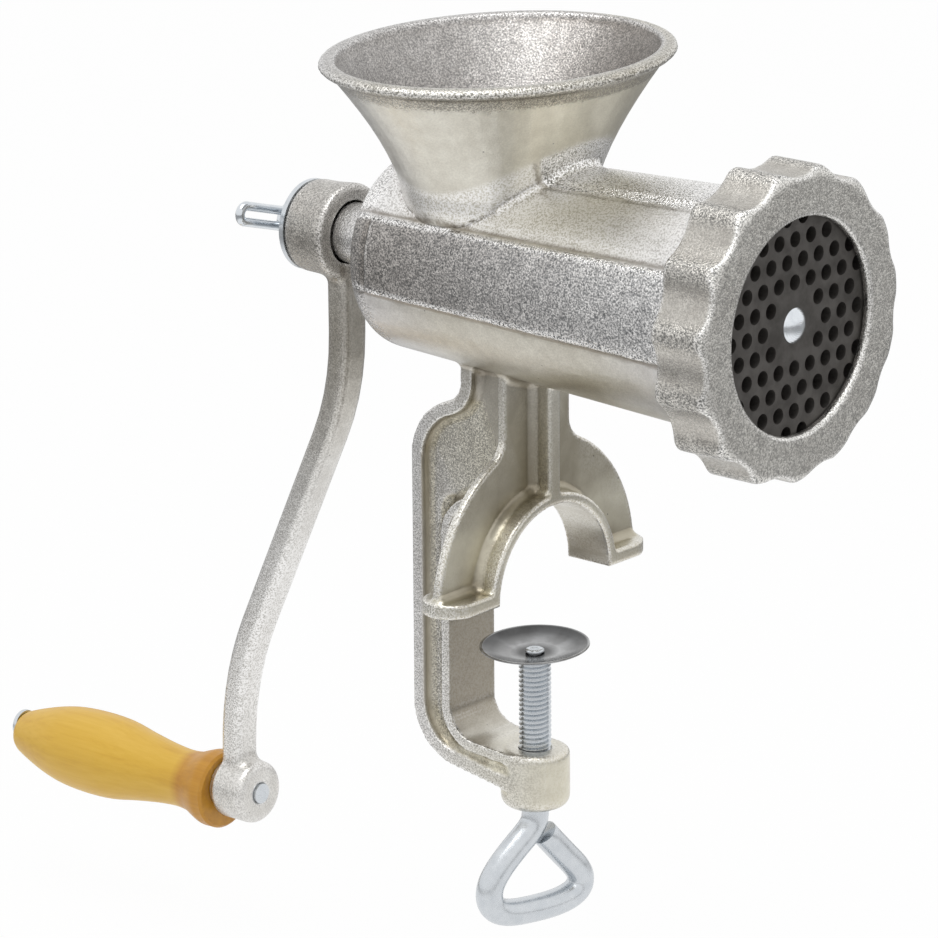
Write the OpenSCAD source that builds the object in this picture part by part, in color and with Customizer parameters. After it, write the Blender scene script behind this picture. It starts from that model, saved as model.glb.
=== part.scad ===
// Hand crank meat grinder, table clamp type, with a 70 mm perforated plate.
// Millimetres. +X runs out of the outlet, +Z is up, and the table top lies in z = 0
// under the two feet, with the clamp screw on the Z axis.

/* [Barrel] */
// Height of the auger axis above the table top
axis_h = 96; // [94:0.5:104]
// Distance from the clamp screw axis forward to the front face of the plate
plate_face_x = 97; // [92:1:104]
// Distance from the rear end of the barrel to the front face of the plate
barrel_len = 146; // [142:1:150]
// Outer radius of the barrel at its rear end
barrel_rear_r = 30.3; // [29.5:0.1:31]
// Wall between the tapered bore and the outside
barrel_wall = 4.8; // [4:0.1:5.4]
// Thickness of the closed rear end
end_wall = 8; // [6:0.5:10]
// Radius of the rounded rear edge
rear_round_r = 7; // [4:0.5:9]
// Height of the raised panels along the top and the sides
panel_h = 0.7; // [0.4:0.1:1.2]
// Length of the threaded head under the ring
head_len = 14; // [12:0.5:15]
// Wall of the threaded head round the plate
head_wall = 3.9; // [3.5:0.1:4.6]
// Step from the barrel's front end up to the threaded head
head_step = 3.8; // [3.2:0.1:4.4]

/* [Hopper] */
// Height of the hopper rim above the auger axis
rim_h = 63; // [58:1:70]
// Half width of the rim along the barrel
rim_a = 45.8; // [42:0.2:48]
// Half width of the rim across the barrel
rim_b = 57.2; // [52:0.2:60]
// Half width of the neck along the barrel
neck_a = 27.5; // [26.5:0.1:28.5]
// Half width of the neck across the barrel
neck_b = 30; // [29:0.1:31]
// Wall of the hopper
hopper_wall = 3.4; // [3:0.1:4]
// Diameter of the rounded bead round the rim
bead_d = 3.6; // [3.4:0.1:4.4]
// Distance of the hopper's centre behind the clamp screw axis
hopper_back = 12.8; // [10:0.2:15]
// Radius of the round ends of the feed throat
throat_r = 21.5; // [19:0.5:23]
// Length of the straight middle of the feed throat, across the barrel
throat_flat = 6; // [2:0.5:8]

/* [Plate and knife] */
// Diameter of the perforated plate
plate_d = 70; // [68:0.5:71]
// Thickness of the perforated plate
plate_t = 5; // [4:0.5:7]
// Diameter of each hole in the plate
hole_d = 4.7; // [4:0.1:5]
// Distance between the centres of neighbouring holes
hole_pitch = 7.3; // [7:0.1:7.5]
// Thickness of the knife
knife_t = 7; // [6:0.5:8]
// How far the knife's blades end inside the edge of the plate
knife_inset = 2; // [1:0.1:5]
// Half width of a knife blade at its root
blade_half_w = 6.5; // [5:0.1:8]
// Side of the square that drives the knife
square_w = 13.5; // [13:0.1:15]
// Diameter of the stud that carries the plate
stud_d = 10.2; // [9:0.1:11]
// How far the stud's domed end stands proud of the plate
stud_proud = 2.2; // [1:0.1:3]
// Depth of the stud's seat in the auger, from the back of the knife
stud_seat = 22; // [16:1:26]
// Diameter of the key pin that keeps the plate from turning
key_d = 4; // [3.5:0.1:4.5]
// Length of the key pin
key_len = 9; // [7:0.5:9]

/* [Ring nut] */
// Number of lobes
lobes = 15; // [12:1:18]
// Wall of the ring at the bottom of the hollows between the lobes
ring_wall = 4.3; // [3.9:0.1:4.9]
// Rise of the lobes over the hollows
lobe_rise = 2.8; // [2.2:0.1:4]
// Radius of the round tip of a lobe
lobe_tip_r = 4.9; // [4.4:0.1:5.2]
// Thickness of the lip that holds the plate
lip_t = 3; // [2.5:0.1:4]
// How far the lip covers the edge of the plate
lip_cover = 3.2; // [2:0.1:5]
// Length of the ring behind the plate's front face
ring_skirt = 15.5; // [15:0.5:17]
// Radius of the ring's rounded front edge
ring_round_r = 4; // [1:0.5:4.5]

/* [Auger] */
// Pitch of the flight
flight_pitch = 33; // [28:1:40]
// Thickness of the flight at its root
flight_root_t = 7; // [5:0.5:8]
// Thickness of the flight at its edge
flight_tip_t = 3.6; // [3:0.2:5]
// Radius of the auger's core at the rear
core_rear_r = 10.5; // [10.2:0.1:12]
// Radius of the auger's core at the front
core_front_r = 13.5; // [12.5:0.5:15]
// Diameter of the shaft in the rear bearing
journal_d = 18.6; // [17.8:0.1:19]
// Diameter of the thrust washer inside the barrel
thrust_d = 34; // [30:0.5:40]
// Thickness of the thrust washer
thrust_t = 1.75; // [1.2:0.05:2.5]
// Diameter of the shaft end that carries the crank
seat_d = 17.6; // [17:0.1:17.7]
// Width across the two flats of that end
seat_flats = 14; // [12:0.5:15]

/* [Crank] */
// Radius that the grip swings at
crank_r = 189.2; // [170:0.2:200]
// How far the grip end is set back from the shaft end
crank_offset = 48; // [40:1:56]
// Gap between the barrel's rear end and the crank
crank_gap = 22; // [18:1:26]
// Length of the upper hub
hub_len = 16; // [14:0.5:20]
// Diameter of the upper hub at its front face
hub_d = 30; // [27:0.5:32]
// Diameter of the upper hub at its rear face
hub_rear_d = 28.4; // [25:0.1:29]
// Slope of the arm's straight middle
arm_slope = 25; // [15:1:30]
// Radius of the arm's upper bend
upper_bend_r = 80; // [40:1:90]
// Radius of the arm's lower bend
lower_bend_r = 104; // [60:1:120]
// Depth of the arm along the shaft, at the top
arm_depth = 8.4; // [7.6:0.1:10]
// Width of the arm across the shaft, at the top
arm_width = 10.6; // [7:0.1:12]
// How much slimmer the arm is at its lower end
arm_taper = 0.94; // [0.7:0.01:1]
// Diameter of the lower hub
pin_hub_d = 20; // [18:0.2:24]
// Length of the lower hub
pin_hub_len = 13; // [11:0.5:16]

/* [Grip] */
// Length of the wooden grip
grip_len = 88.6; // [84:0.2:110]
// Diameter of the collar at the crank end
collar_d = 24.8; // [23:0.2:26]
// Diameter of the neck behind the collar
neck_d = 18.6; // [17:0.2:20]
// Largest diameter of the grip
belly_d = 27; // [25:0.2:29]
// How far the middle of the grip lies below its axle
grip_drop = 2.3; // [0:0.1:2.4]
// Diameter of the axle that the grip turns on
axle_d = 6.4; // [5.5:0.1:7]
// Diameter of the washer at the outer end of the grip
end_washer_d = 9.6; // [9:0.1:12]
// Thickness of the two washers on the axle
washer_t = 1.4; // [1:0.1:2]
// Diameter of the washer between the grip and the crank
inner_washer_d = 16; // [12:0.5:18]

/* [Thumb screw] */
// Diameter of the stem in the shaft end
thumb_d = 8; // [6:0.5:8.5]
// Length of the stem
thumb_len = 26; // [22:1:30]
// Diameter of the wire loop's rod
thumb_rod_d = 2.8; // [2.4:0.1:3.6]
// Length of the wire loop
thumb_w = 53; // [40:1:56]
// Width of the wire loop
thumb_loop_w = 7.6; // [7:0.1:9]
// Turn of the wire loop about the screw, from level
thumb_turn = 16; // [-90:1:90]
// Length of the head that holds the wire loop
thumb_head_len = 9; // [8:0.5:12]
// Thickness of the washer under the thumb screw
thumb_washer_t = 1.8; // [1.2:0.1:2.4]

/* [Stand] */
// Width of the stand across the flanges
stand_w = 21; // [19:0.5:24]
// Distance from the clamp screw axis back to the column's front face
column_front = 25; // [23:0.5:28]
// Depth of the column, front to back
column_depth = 14.4; // [13:0.2:16]
// Thickness of the rear flange
rear_flange_t = 4.2; // [3.5:0.1:5]
// Thickness of the front flange
front_flange_t = 3.2; // [2.5:0.1:4]
// Depth of the channel in each side of the stand
channel_d = 3.2; // [2:0.1:4]
// Drop from the table top to the seat of the clamp screw's boss
boss_drop = 52.3; // [50:0.1:56]
// Length of the boss
boss_len = 18.3; // [16:0.1:21]
// Diameter of the boss
boss_d = 20.8; // [18:0.2:21]

/* [Saddle] */
// Radius of the arch between the feet
arch_r = 25.4; // [24:0.2:27]
// Outer radius of the saddle
saddle_r = 45.5; // [43:0.5:48]
// Depth of the arch flange and of the feet along the barrel
saddle_depth = 16.8; // [14:0.4:20]
// Thickness of the arch flange
saddle_flange_t = 3.2; // [2.6:0.1:4]
// Thickness of the feet
foot_t = 4.3; // [3.4:0.1:5.5]
// Thickness of the saddle's panel
panel_t = 2.8; // [2.4:0.1:4]
// Half width of the neck under the barrel
saddle_neck = 15; // [13:0.5:17]
// Width of the middle rib
rib_w = 4.8; // [4:0.2:6]
// How far the feet reach past the saddle
foot_ear = 1; // [0.6:0.1:2.4]

/* [Clamp] */
// Diameter of the clamp screw
screw_d = 9.8; // [8:0.1:10]
// Gap between the feet and the pad, with the screw fully home
clamp_gap = 19.6; // [18:0.1:24]
// Diameter of the clamp pad
pad_d = 33.4; // [30:0.2:36]
// Depth of the pad's dish
pad_dish = 3.6; // [2.5:0.1:4.5]
// Thickness of the pad's sheet
pad_t = 1.6; // [1.2:0.1:2]
// Diameter of the loop's rod
loop_rod_d = 7.9; // [7:0.1:9]
// Outer width of the loop
loop_w = 44; // [40:1:50]
// Drop from the boss to the bottom of the loop
loop_drop = 39; // [36:0.5:46]
// How much higher the loop's first corner lies than its second
loop_rise = 2; // [0:0.1:4]
// Inner bend radius of the loop's corners, to the rod's middle
loop_bend_r = 6.5; // [5.5:0.1:8]
// Turn of the loop about the screw, from straight across
loop_turn = -14; // [-30:1:30]

/* [Clearances] */
// Radial play of a shaft in its bearing
running_gap = 0.05; // [0.03:0.01:0.08]
// Play of loose parts and of screw threads
loose_gap = 0.3; // [0.25:0.05:0.4]
// Play of the knife on its square, to each side
square_play = 0.1; // [0.05:0.01:0.2]
// Hairline between solids that are cast in one
seam = 0.05; // [0.02:0.01:0.1]

/* [Hidden] */
$fn = 96;
eps = 0.02;

rear_x = plate_face_x - barrel_len;
plate_back_x = plate_face_x - plate_t;
head_front_x = plate_face_x - 1;
head_x = head_front_x - head_len;
flare_r = 4;
chamber_r = plate_d / 2 + loose_gap;
head_r = chamber_r + head_wall;
barrel_front_r = head_r - head_step;
ring_bore_r = head_r + loose_gap;
lobe_root_r = ring_bore_r + ring_wall;
lobe_crest_r = lobe_root_r + lobe_rise;
lip_r = plate_d / 2 - lip_cover;
knife_r = plate_d / 2 - knife_inset;
knife_back_x = plate_back_x - knife_t;
chamber_x = knife_back_x - 4;
bore_rear_x = rear_x + end_wall;

panel_rear_x = rear_x + 10;
hopper_x = -hopper_back;
throat_half = throat_r + throat_flat / 2;
hopper_low = 12;
neck_h = 22;
flare_power = 1.45;

washer_face_x = bore_rear_x + seam + thrust_t;
core_x = washer_face_x + 0.2;
journal_r = journal_d / 2;
hub_front_x = rear_x - crank_gap;
hub_rear_x = hub_front_x - hub_len;
seat_end_x = hub_rear_x + 1;
stud_x = knife_back_x - stud_seat;

arm_top_x = hub_front_x - arm_depth / 2 + 1.2;
arm_low_x = arm_top_x - crank_offset;
pin_z = axis_h - crank_r;
pin_hub_rear_x = arm_low_x - arm_depth / 2 * arm_taper - 0.1;
pin_hub_front_x = pin_hub_rear_x + pin_hub_len;
grip_play = 0.3;
grip_x = pin_hub_rear_x - washer_t - 2 * grip_play;
grip_end_x = grip_x - grip_len;
end_washer_x = grip_end_x - grip_play;

thumb_head_x = hub_rear_x - thumb_washer_t;

column_rear = column_front + column_depth;
bend_out_r = 20;
bend_in_r = 8;
neck_back = 19.5;
bend_out_z = 34.4;
elbow_r = 18.5;
elbow_in_r = 9.2;
elbow_z = -42.5;
arm_fall = 9.5;
arm_top_fall = 4.8;
web_arch_r = 11;
web_under_z = arch_r - 3.1;
mark_back = 25;
mark_up = 18.3;

pad_z = -clamp_gap;
pad_floor_z = pad_z - pad_dish;
boss_top_z = -boss_drop;
boss_low_z = boss_top_z - boss_len;
tip_d = 6.4;

tin = "#c4c3bb";
zinc = "#aeb6bf";
steel = "#4b4441";
wood = "#dca848";

// ---------- helpers ----------

// A point at a radius and an angle round a centre
function polar(c, r, a) = [c[0] + r * cos(a), c[1] + r * sin(a)];

// Points of an arc from one angle to another
function arc(c, r, a0, a1, n) = [for (i = [0:n]) polar(c, r, a0 + (a1 - a0) * i / n)];

// Value on a smooth curve through four stations, between the second and the third
function blend4(a, b, c, d, t) =
    b + 0.5 * t * (c - a + t * (2 * a - 5 * b + 4 * c - d + t * (3 * (b - c) + d - a)));

// A stack of closed rings, each a list of points of the same length, as one solid
module loft(rings) {
    n = len(rings[0]);
    m = len(rings);
    polyhedron(
        points = [for (r = rings) each r],
        faces = concat(
            [for (j = [0:m - 2], i = [0:n - 1]) each [
                [j * n + i, (j + 1) * n + i, (j + 1) * n + (i + 1) % n],
                [j * n + i, (j + 1) * n + (i + 1) % n, j * n + (i + 1) % n]]],
            [[for (i = [0:n - 1]) i]],
            [[for (i = [n - 1:-1:0]) (m - 1) * n + i]]));
}

// Turns a shape made along Z onto the auger axis, with its Z = 0 at x
module on_axis(x = 0) {
    translate([x, 0, axis_h]) rotate([0, 90, 0]) children();
}

// A cylinder along the auger axis from x0 to x1
module axial(x0, x1, r0, r1) {
    on_axis(x0) cylinder(h = x1 - x0, r1 = r0, r2 = r1);
}

// ---------- barrel ----------

// Outer radius of the barrel at x
function barrel_r(x) =
    barrel_rear_r + (barrel_front_r - barrel_rear_r) * (x - rear_x) / (head_x - rear_x);

// Radius of the tapered bore at x
function bore_r(x) = barrel_r(x) - barrel_wall;

// Half outline of the barrel, as radius and distance from the rear end
function barrel_outline(grow) = concat(
    [[0, 0]],
    arc([barrel_rear_r - rear_round_r + grow, rear_round_r], rear_round_r, -90, 0, 8),
    [[barrel_r(head_x - flare_r) + grow, head_x - flare_r - rear_x]],
    arc([barrel_r(head_x - flare_r) + grow + flare_r, head_x - flare_r - rear_x],
        flare_r, 180, 90, 6),
    [[head_r, head_x - rear_x], [head_r, head_front_x - rear_x], [0, head_front_x - rear_x]]);

// A wedge from the axis outwards that covers the angles a0 to a1 above the +Y side
module side_wedge(a0, a1) {
    far = 60;
    translate([panel_rear_x, 0, axis_h]) rotate([90, 0, 90])
        linear_extrude(head_x - flare_r - panel_rear_x)
            polygon(concat([[0, 0]], arc([0, 0], far, a0, a1, 4)));
}

// The outside of the barrel without its panels
module barrel_skin(grow = 0) {
    on_axis(rear_x) rotate_extrude() polygon(barrel_outline(grow));
}

// Vertical prism of the feed throat
module throat(h) {
    linear_extrude(h) {
        square([2 * throat_r, throat_flat], center = true);
        for (s = [-1, 1]) translate([0, s * throat_flat / 2]) circle(throat_r);
    }
}

module barrel() {
    color(tin) difference() {
        union() {
            barrel_skin();
            intersection() {
                axial(panel_rear_x, head_x - flare_r,
                      barrel_r(panel_rear_x) + panel_h, barrel_r(head_x - flare_r) + panel_h);
                union() {
                    side_wedge(72, 108);
                    side_wedge(150, 193);
                    side_wedge(-13, 30);
                }
            }
        }
        axial(bore_rear_x, chamber_x + eps, bore_r(bore_rear_x), bore_r(chamber_x));
        axial(chamber_x, head_front_x + 1, chamber_r, chamber_r);
        axial(rear_x - 1, bore_rear_x + 1, journal_r + running_gap, journal_r + running_gap);
        translate([hopper_x, 0, axis_h]) throat(barrel_front_r + 10);
        plate_key_hole();
    }
}

// ---------- hopper ----------

// How far the hopper has flared at a height above the auger axis, from 0 to 1
function flare(h) = h <= neck_h ? 0 : pow((h - neck_h) / (rim_h - neck_h), flare_power);

// Half widths of the hopper's outside at a height above the auger axis
function hopper_a(h) = neck_a + (rim_a - neck_a) * flare(h);
function hopper_b(h) = neck_b + (rim_b - neck_b) * flare(h) - max(0, neck_h - h) * 0.4;

// One oval ring of the hopper, shrunk inwards by a wall
function oval(h, shrink, n = 56) = [for (i = [0:n - 1])
    [hopper_x + (hopper_a(min(h, rim_h)) - shrink) * cos(360 * i / n),
     (hopper_b(min(h, rim_h)) - shrink) * sin(360 * i / n), axis_h + h]];

module hopper() {
    steps = 10;
    under_bead = rim_h - bead_d;
    color(tin) difference() {
        union() {
            loft(concat(
                [for (i = [0:steps]) oval(hopper_low + (under_bead - hopper_low) * i / steps, 0)],
                [for (a = [-90:30:90])
                    oval(rim_h + bead_d / 2 * sin(a), -bead_d / 2 * cos(a))]));
        }
        loft(concat(
            [for (i = [0:steps]) oval(hopper_low + 2 + (rim_h - hopper_low - 2) * i / steps,
                                      hopper_wall)],
            [oval(rim_h + bead_d, hopper_wall - 1.2)]));
        translate([hopper_x, 0, axis_h]) throat(neck_h + 4);
        intersection() {
            barrel_skin(seam);
            translate([hopper_x, 0, axis_h]) cube([120, 120, 120], center = true);
        }
        hopper_over_panels();
    }
}

// Room for the barrel's raised panels under the hopper
module hopper_over_panels() {
    axial(panel_rear_x - 1, head_x - flare_r,
          barrel_r(panel_rear_x) + panel_h + seam, barrel_r(head_x - flare_r) + panel_h + seam);
}

// ---------- stand ----------

// Side outline of the C-shaped stand, drawn in x and z. Its edges move inwards by
// rear and front, except along the saddle and the barrel
function stand_outline(rear, front) =
    let (
        c_in = [-neck_back - bend_in_r,
                bend_out_z + sqrt(pow(bend_in_r + bend_out_r, 2)
                                  - pow(column_rear - bend_out_r - neck_back - bend_in_r, 2))],
        c_out = [-column_rear + bend_out_r, bend_out_z],
        lean = atan2(c_in[1] - c_out[1], c_in[0] - c_out[0]),
        c_elbow = [-column_rear + elbow_r, elbow_z],
        c_inner = [-column_front + elbow_in_r, elbow_z],
        low = polar(c_elbow, elbow_r - rear, 270 - arm_fall),
        top = polar(c_inner, elbow_in_r + front, 270 - arm_top_fall)
    ) concat(
        [[-neck_back + rear, axis_h]],
        arc(c_in, bend_in_r + rear, 0, lean - 180, 8),
        arc(c_out, bend_out_r - rear, lean, 180, 8),
        arc(c_elbow, elbow_r - rear, 180, 270 - arm_fall, 8),
        [[0, low[1] + (0 - low[0]) * -tan(arm_fall)],
         [0, top[1] + (0 - top[0]) * -tan(arm_top_fall)]],
        arc(c_inner, elbow_in_r + front, 270 - arm_top_fall, 180, 8),
        arc([-column_front + web_arch_r, web_under_z - web_arch_r],
            web_arch_r + front, 180, 90, 8),
        [[0, web_under_z + front], [0, axis_h]]);

// The stand's column, lower arm and upper web, with a channel down each side
module stand_frame() {
    difference() {
        rotate([90, 0, 0]) linear_extrude(stand_w, center = true)
            polygon(stand_outline(0, 0));
        for (s = [-1, 1]) translate([0, s * stand_w / 2, 0])
            rotate([90, 0, 0]) linear_extrude(2 * channel_d, center = true)
                polygon(stand_outline(rear_flange_t, front_flange_t));
    }
}

// Outline of the saddle's panel across the barrel, without its arch
module saddle_face() {
    fillet_r = 8;
    cy = saddle_neck + fillet_r;
    cz = sqrt(pow(saddle_r + fillet_r, 2) - pow(cy, 2));
    touch = [cy, cz] * saddle_r / (saddle_r + fillet_r);
    half_disc(saddle_r);
    translate([-saddle_neck, 0]) square([2 * saddle_neck, axis_h]);
    below = 4;
    for (s = [-1, 1]) scale([s, 1]) difference() {
        polygon([[0, cz], [cy, cz], touch, [0, touch[1] - below]]);
        translate([cy, cz]) circle(fillet_r);
    }
}

// Turns a flat outline in y and z into a slab from x0 to x1
module slab(x0, x1) {
    translate([x0, 0, 0]) rotate([90, 0, 90]) linear_extrude(x1 - x0) children();
}

// Flat plan of one foot, drawn in x and y on the +Y side
module foot_plan() {
    half = saddle_depth / 2;
    middle = saddle_r + foot_ear - half;
    translate([-half, arch_r]) square([saddle_depth, middle - arch_r]);
    translate([0, middle]) circle(half);
}

// Upper half of a round outline in y and z
module half_disc(r) {
    intersection() {
        circle(r);
        translate([-r, 0]) square([2 * r, r]);
    }
}

module saddle() {
    half = saddle_depth / 2;
    color(tin) difference() {
        union() {
            slab(-panel_t / 2, panel_t / 2) difference() {
                saddle_face();
                circle(arch_r);
            }
            slab(-half, half) difference() {
                half_disc(arch_r + saddle_flange_t);
                circle(arch_r);
            }
            slab(0, half) translate([-rib_w / 2, arch_r + 1])
                square([rib_w, axis_h - arch_r - 1]);
            for (s = [0, 1]) mirror([0, s, 0]) linear_extrude(foot_t) difference() {
                foot_plan();
                translate([-half - 1, 0]) square([saddle_depth + 2, arch_r]);
            }
        }
        barrel_skin(seam);
    }
}

// Room for the saddle in the stand's web
module saddle_room() {
    slab(-saddle_depth / 2 - seam, saddle_depth) half_disc(arch_r + saddle_flange_t + seam);
    slab(-panel_t / 2 - seam, saddle_depth)
        translate([-stand_w, 0]) square([2 * stand_w, axis_h]);
}

// Round boss for the clamp screw, with rounded lower and upper edges
module boss() {
    low_r = 3.4;
    top_r = 2;
    r = boss_d / 2;
    translate([0, 0, boss_low_z]) rotate_extrude() polygon(concat(
        [[0, 0]],
        arc([r - low_r, low_r], low_r, -90, 0, 6),
        arc([r - top_r, boss_len - top_r], top_r, 0, 90, 4),
        [[0, boss_len]]));
}

module stand() {
    color(tin) difference() {
        union() {
            difference() {
                stand_frame();
                saddle_room();
                barrel_skin(seam);
            }
            boss();
        }
        translate([0, 0, boss_low_z - 1])
            cylinder(h = boss_len + 2, r = screw_d / 2 + running_gap);
        web_mark();
    }
}

// Shallow round sink with a deeper middle that the casting has on one side of its web
module web_mark() {
    sink_r = 6;
    sink_depth = 0.5;
    dimple_r = 3.1;
    dimple_depth = 1.8;
    side = stand_w / 2 - channel_d;
    translate([-mark_back, -side, mark_up]) rotate([90, 0, 0]) {
        translate([0, 0, -sink_depth]) cylinder(h = channel_d, r = sink_r);
        translate([0, 0, -dimple_depth]) cylinder(h = channel_d, r = dimple_r);
    }
}

// ---------- fixed small parts ----------

module plate_key_hole() {
    translate([plate_back_x + plate_t / 2, 0, axis_h - plate_d / 2 + 1.2])
        rotate([180, 0, 0]) cylinder(h = key_len, r = key_d / 2, $fn = 32);
}

module plate_key() {
    color(steel) intersection() {
        translate([plate_back_x + plate_t / 2, 0, axis_h - plate_d / 2 + 1.2])
            rotate([180, 0, 0]) cylinder(h = key_len, r = key_d / 2 - seam, $fn = 32);
        axial(head_x, head_front_x, head_r - 0.2, head_r - 0.2);
    }
}

module thrust_washer() {
    color("#d9d4c4") difference() {
        axial(bore_rear_x + seam, washer_face_x, thrust_d / 2, thrust_d / 2);
        axial(bore_rear_x - 1, washer_face_x + 1, journal_r + loose_gap, journal_r + loose_gap);
    }
}

// ---------- turning group ----------

// Helical flight round the core, from x0 to x1
module flight(x0, x1) {
    per_turn = 32;
    sunk = 3;
    n = ceil((x1 - x0) / flight_pitch * per_turn);
    rings = [for (i = [0:n])
        let (x = x0 + (x1 - x0) * i / n,
             a = 360 * (x - x0) / flight_pitch,
             edge = bore_r(x) - loose_gap - 0.1,
             root = core_rear_r - sunk)
        [for (p = [[root, flight_root_t / 2], [edge, flight_tip_t / 2],
                   [edge, -flight_tip_t / 2], [root, -flight_root_t / 2]])
            [x + p[1], p[0] * cos(a), axis_h + p[0] * sin(a)]]];
    loft(rings);
}

module auger() {
    shoulder = 0.5;
    flight_x0 = core_x + flight_root_t / 2 + shoulder;
    flight_x1 = knife_back_x - flight_root_t / 2 - shoulder - 0.1;
    flats = seat_flats / 2;
    color(tin) difference() {
        union() {
            axial(core_x, knife_back_x - shoulder, core_rear_r, core_front_r);
            flight(flight_x0, flight_x1);
            axial(hub_front_x, core_x + 1, journal_r, journal_r);
            intersection() {
                axial(seat_end_x, hub_front_x + 1, seat_d / 2, seat_d / 2);
                translate([seat_end_x - 1, -flats, axis_h - seat_d])
                    cube([hub_len + 4, 2 * flats, 2 * seat_d]);
            }
            translate([knife_back_x - 1, -square_w / 2, axis_h - square_w / 2])
                cube([knife_t + 0.6, square_w, square_w]);
        }
        axial(stud_x, plate_face_x, stud_d / 2 + running_gap, stud_d / 2 + running_gap);
        axial(seat_end_x - 1, seat_end_x + thumb_len, thumb_d / 2 + running_gap,
              thumb_d / 2 + running_gap);
    }
}

module knife_stud() {
    dome = stud_proud;
    r = stud_d / 2;
    sphere_r = (r * r + dome * dome) / (2 * dome);
    color(zinc) intersection() {
        axial(stud_x + 0.3, plate_face_x + dome, r, r);
        translate([plate_face_x + dome - sphere_r, 0, axis_h]) union() {
            sphere(sphere_r);
            rotate([0, -90, 0]) cylinder(h = sphere_r + plate_face_x - stud_x, r = 2 * r);
        }
    }
}

module knife() {
    hub_r = square_w * 0.96;
    blades = 4;
    hole = square_w + 2 * square_play;
    w = blade_half_w;
    color(steel) difference() {
        on_axis(knife_back_x) {
            cylinder(h = knife_t - loose_gap, r = hub_r);
            for (i = [0:blades - 1]) rotate(360 / blades * i)
                linear_extrude(knife_t - loose_gap)
                    polygon([[0, -w], [knife_r - w / 2, -w * 0.85], [knife_r, -w * 0.3],
                             [knife_r, w * 0.4], [hub_r, w * 0.9]]);
        }
        translate([knife_back_x - 1, -hole / 2, axis_h - hole / 2])
            cube([knife_t + 2, hole, hole]);
    }
}

// ---------- plate and ring ----------

module perforated_plate() {
    rows = 5;
    inner = hole_pitch * sqrt(3) - 0.1;
    outer = hole_pitch * sqrt(19) + 0.1;
    color(steel) difference() {
        axial(plate_back_x + 0.1, plate_face_x, plate_d / 2, plate_d / 2);
        axial(plate_back_x - 1, plate_face_x + 1, stud_d / 2 + running_gap,
              stud_d / 2 + running_gap);
        for (i = [-rows:rows], j = [-rows:rows]) {
            y = hole_pitch * (i + j / 2);
            z = hole_pitch * j * sqrt(3) / 2;
            d = sqrt(y * y + z * z);
            if (d > inner && d < outer)
                translate([0, y, z]) axial(plate_back_x - 1, plate_face_x + 1,
                                           hole_d / 2, hole_d / 2);
        }
        translate([plate_back_x - 1, -key_d / 2 - loose_gap, axis_h - plate_d / 2 - 1])
            cube([plate_t + 2, key_d + 2 * loose_gap, 3.2]);
    }
}

// Wavy outline of the ring: round lobes and the hollow arcs that touch them
function lobed_outline() =
    let (
        step = 360 / lobes,
        centre_r = lobe_crest_r - lobe_tip_r,
        half = centre_r * sin(step / 2),
        mid = centre_r * cos(step / 2),
        rise = lobe_root_r - mid,
        hollow_r = (half * half + rise * rise - lobe_tip_r * lobe_tip_r)
                   / (2 * (lobe_tip_r - rise)),
        lean = atan2(half, lobe_root_r + hollow_r - mid),
        sweep = step / 2 + lean
    ) [for (i = [0:lobes - 1])
        let (a = i * step, h = a + step / 2,
             hollow = arc(polar([0, 0], lobe_root_r + hollow_r, h), hollow_r,
                          h + 180 + lean, h + 180 - lean, 6))
        each concat(arc(polar([0, 0], centre_r, a), lobe_tip_r, a - sweep, a + sweep, 8),
                    [for (k = [1:5]) hollow[k]])];

module ring_nut() {
    front_x = plate_face_x + lip_t;
    rear = plate_face_x - ring_skirt;
    len_x = front_x - rear;
    rear_r = 1.2;
    r = lobe_crest_r + 0.4;
    color(tin) difference() {
        intersection() {
            on_axis(rear) linear_extrude(len_x) polygon(lobed_outline());
            on_axis(rear) rotate_extrude() polygon(concat(
                [[0, 0]],
                arc([r - rear_r, rear_r], rear_r, -90, 0, 4),
                arc([r - ring_round_r, len_x - ring_round_r], ring_round_r, 0, 90, 8),
                [[0, len_x]]));
        }
        axial(rear - 1, plate_face_x + 0.05, ring_bore_r, ring_bore_r);
        axial(rear, front_x + 1, lip_r, lip_r);
        axial(front_x - 0.8, front_x + 0.2, lip_r, lip_r + 1);
    }
}

// ---------- crank ----------

// Arm's middle line in x and z, from the upper hub down to the lower hub
function arm_path() =
    let (
        bend = (1 - cos(arm_slope)),
        straight = (crank_offset - (upper_bend_r + lower_bend_r) * bend) / sin(arm_slope),
        drop = (upper_bend_r + lower_bend_r) * sin(arm_slope) + straight * cos(arm_slope),
        z0 = pin_z + pin_hub_d / 2 + 3.7 + drop,
        a0 = arc([arm_top_x - upper_bend_r, z0], upper_bend_r, 0, -arm_slope, 5),
        a1 = arc([arm_low_x + lower_bend_r, z0 - drop], lower_bend_r, 180 - arm_slope, 180, 7)
    ) concat([[arm_top_x, axis_h - 8], [arm_top_x, (axis_h - 8 + z0) / 2]], a0,
             [(a0[5] + a1[0]) / 2], a1, [[arm_low_x, pin_z + pin_hub_d / 2 - 4]]);

// Points of a rounded rectangle, as half sizes and a corner radius
function rounded_box(a, b, r, n) = [for (q = [0:3], i = [0:n])
    let (t = 90 * (q + i / n), c = [(q == 0 || q == 3 ? 1 : -1) * (a - r),
                                    (q < 2 ? 1 : -1) * (b - r)])
    polar(c, r, t)];

module crank_bar() {
    path = arm_path();
    m = len(path);
    corner_r = 2.4;
    loft([for (j = [m - 1:-1:0])
        let (p = path[j],
             q = path[max(0, j - 1)] - path[min(m - 1, j + 1)],
             t = q / norm(q),
             k = 1 - (1 - arm_taper) * j / (m - 1))
        [for (w = rounded_box(arm_depth / 2 * k, arm_width / 2 * k, corner_r * k, 4))
            [p[0] + w[0] * t[1], w[1], p[1] - w[0] * t[0]]]]);
}

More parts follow.
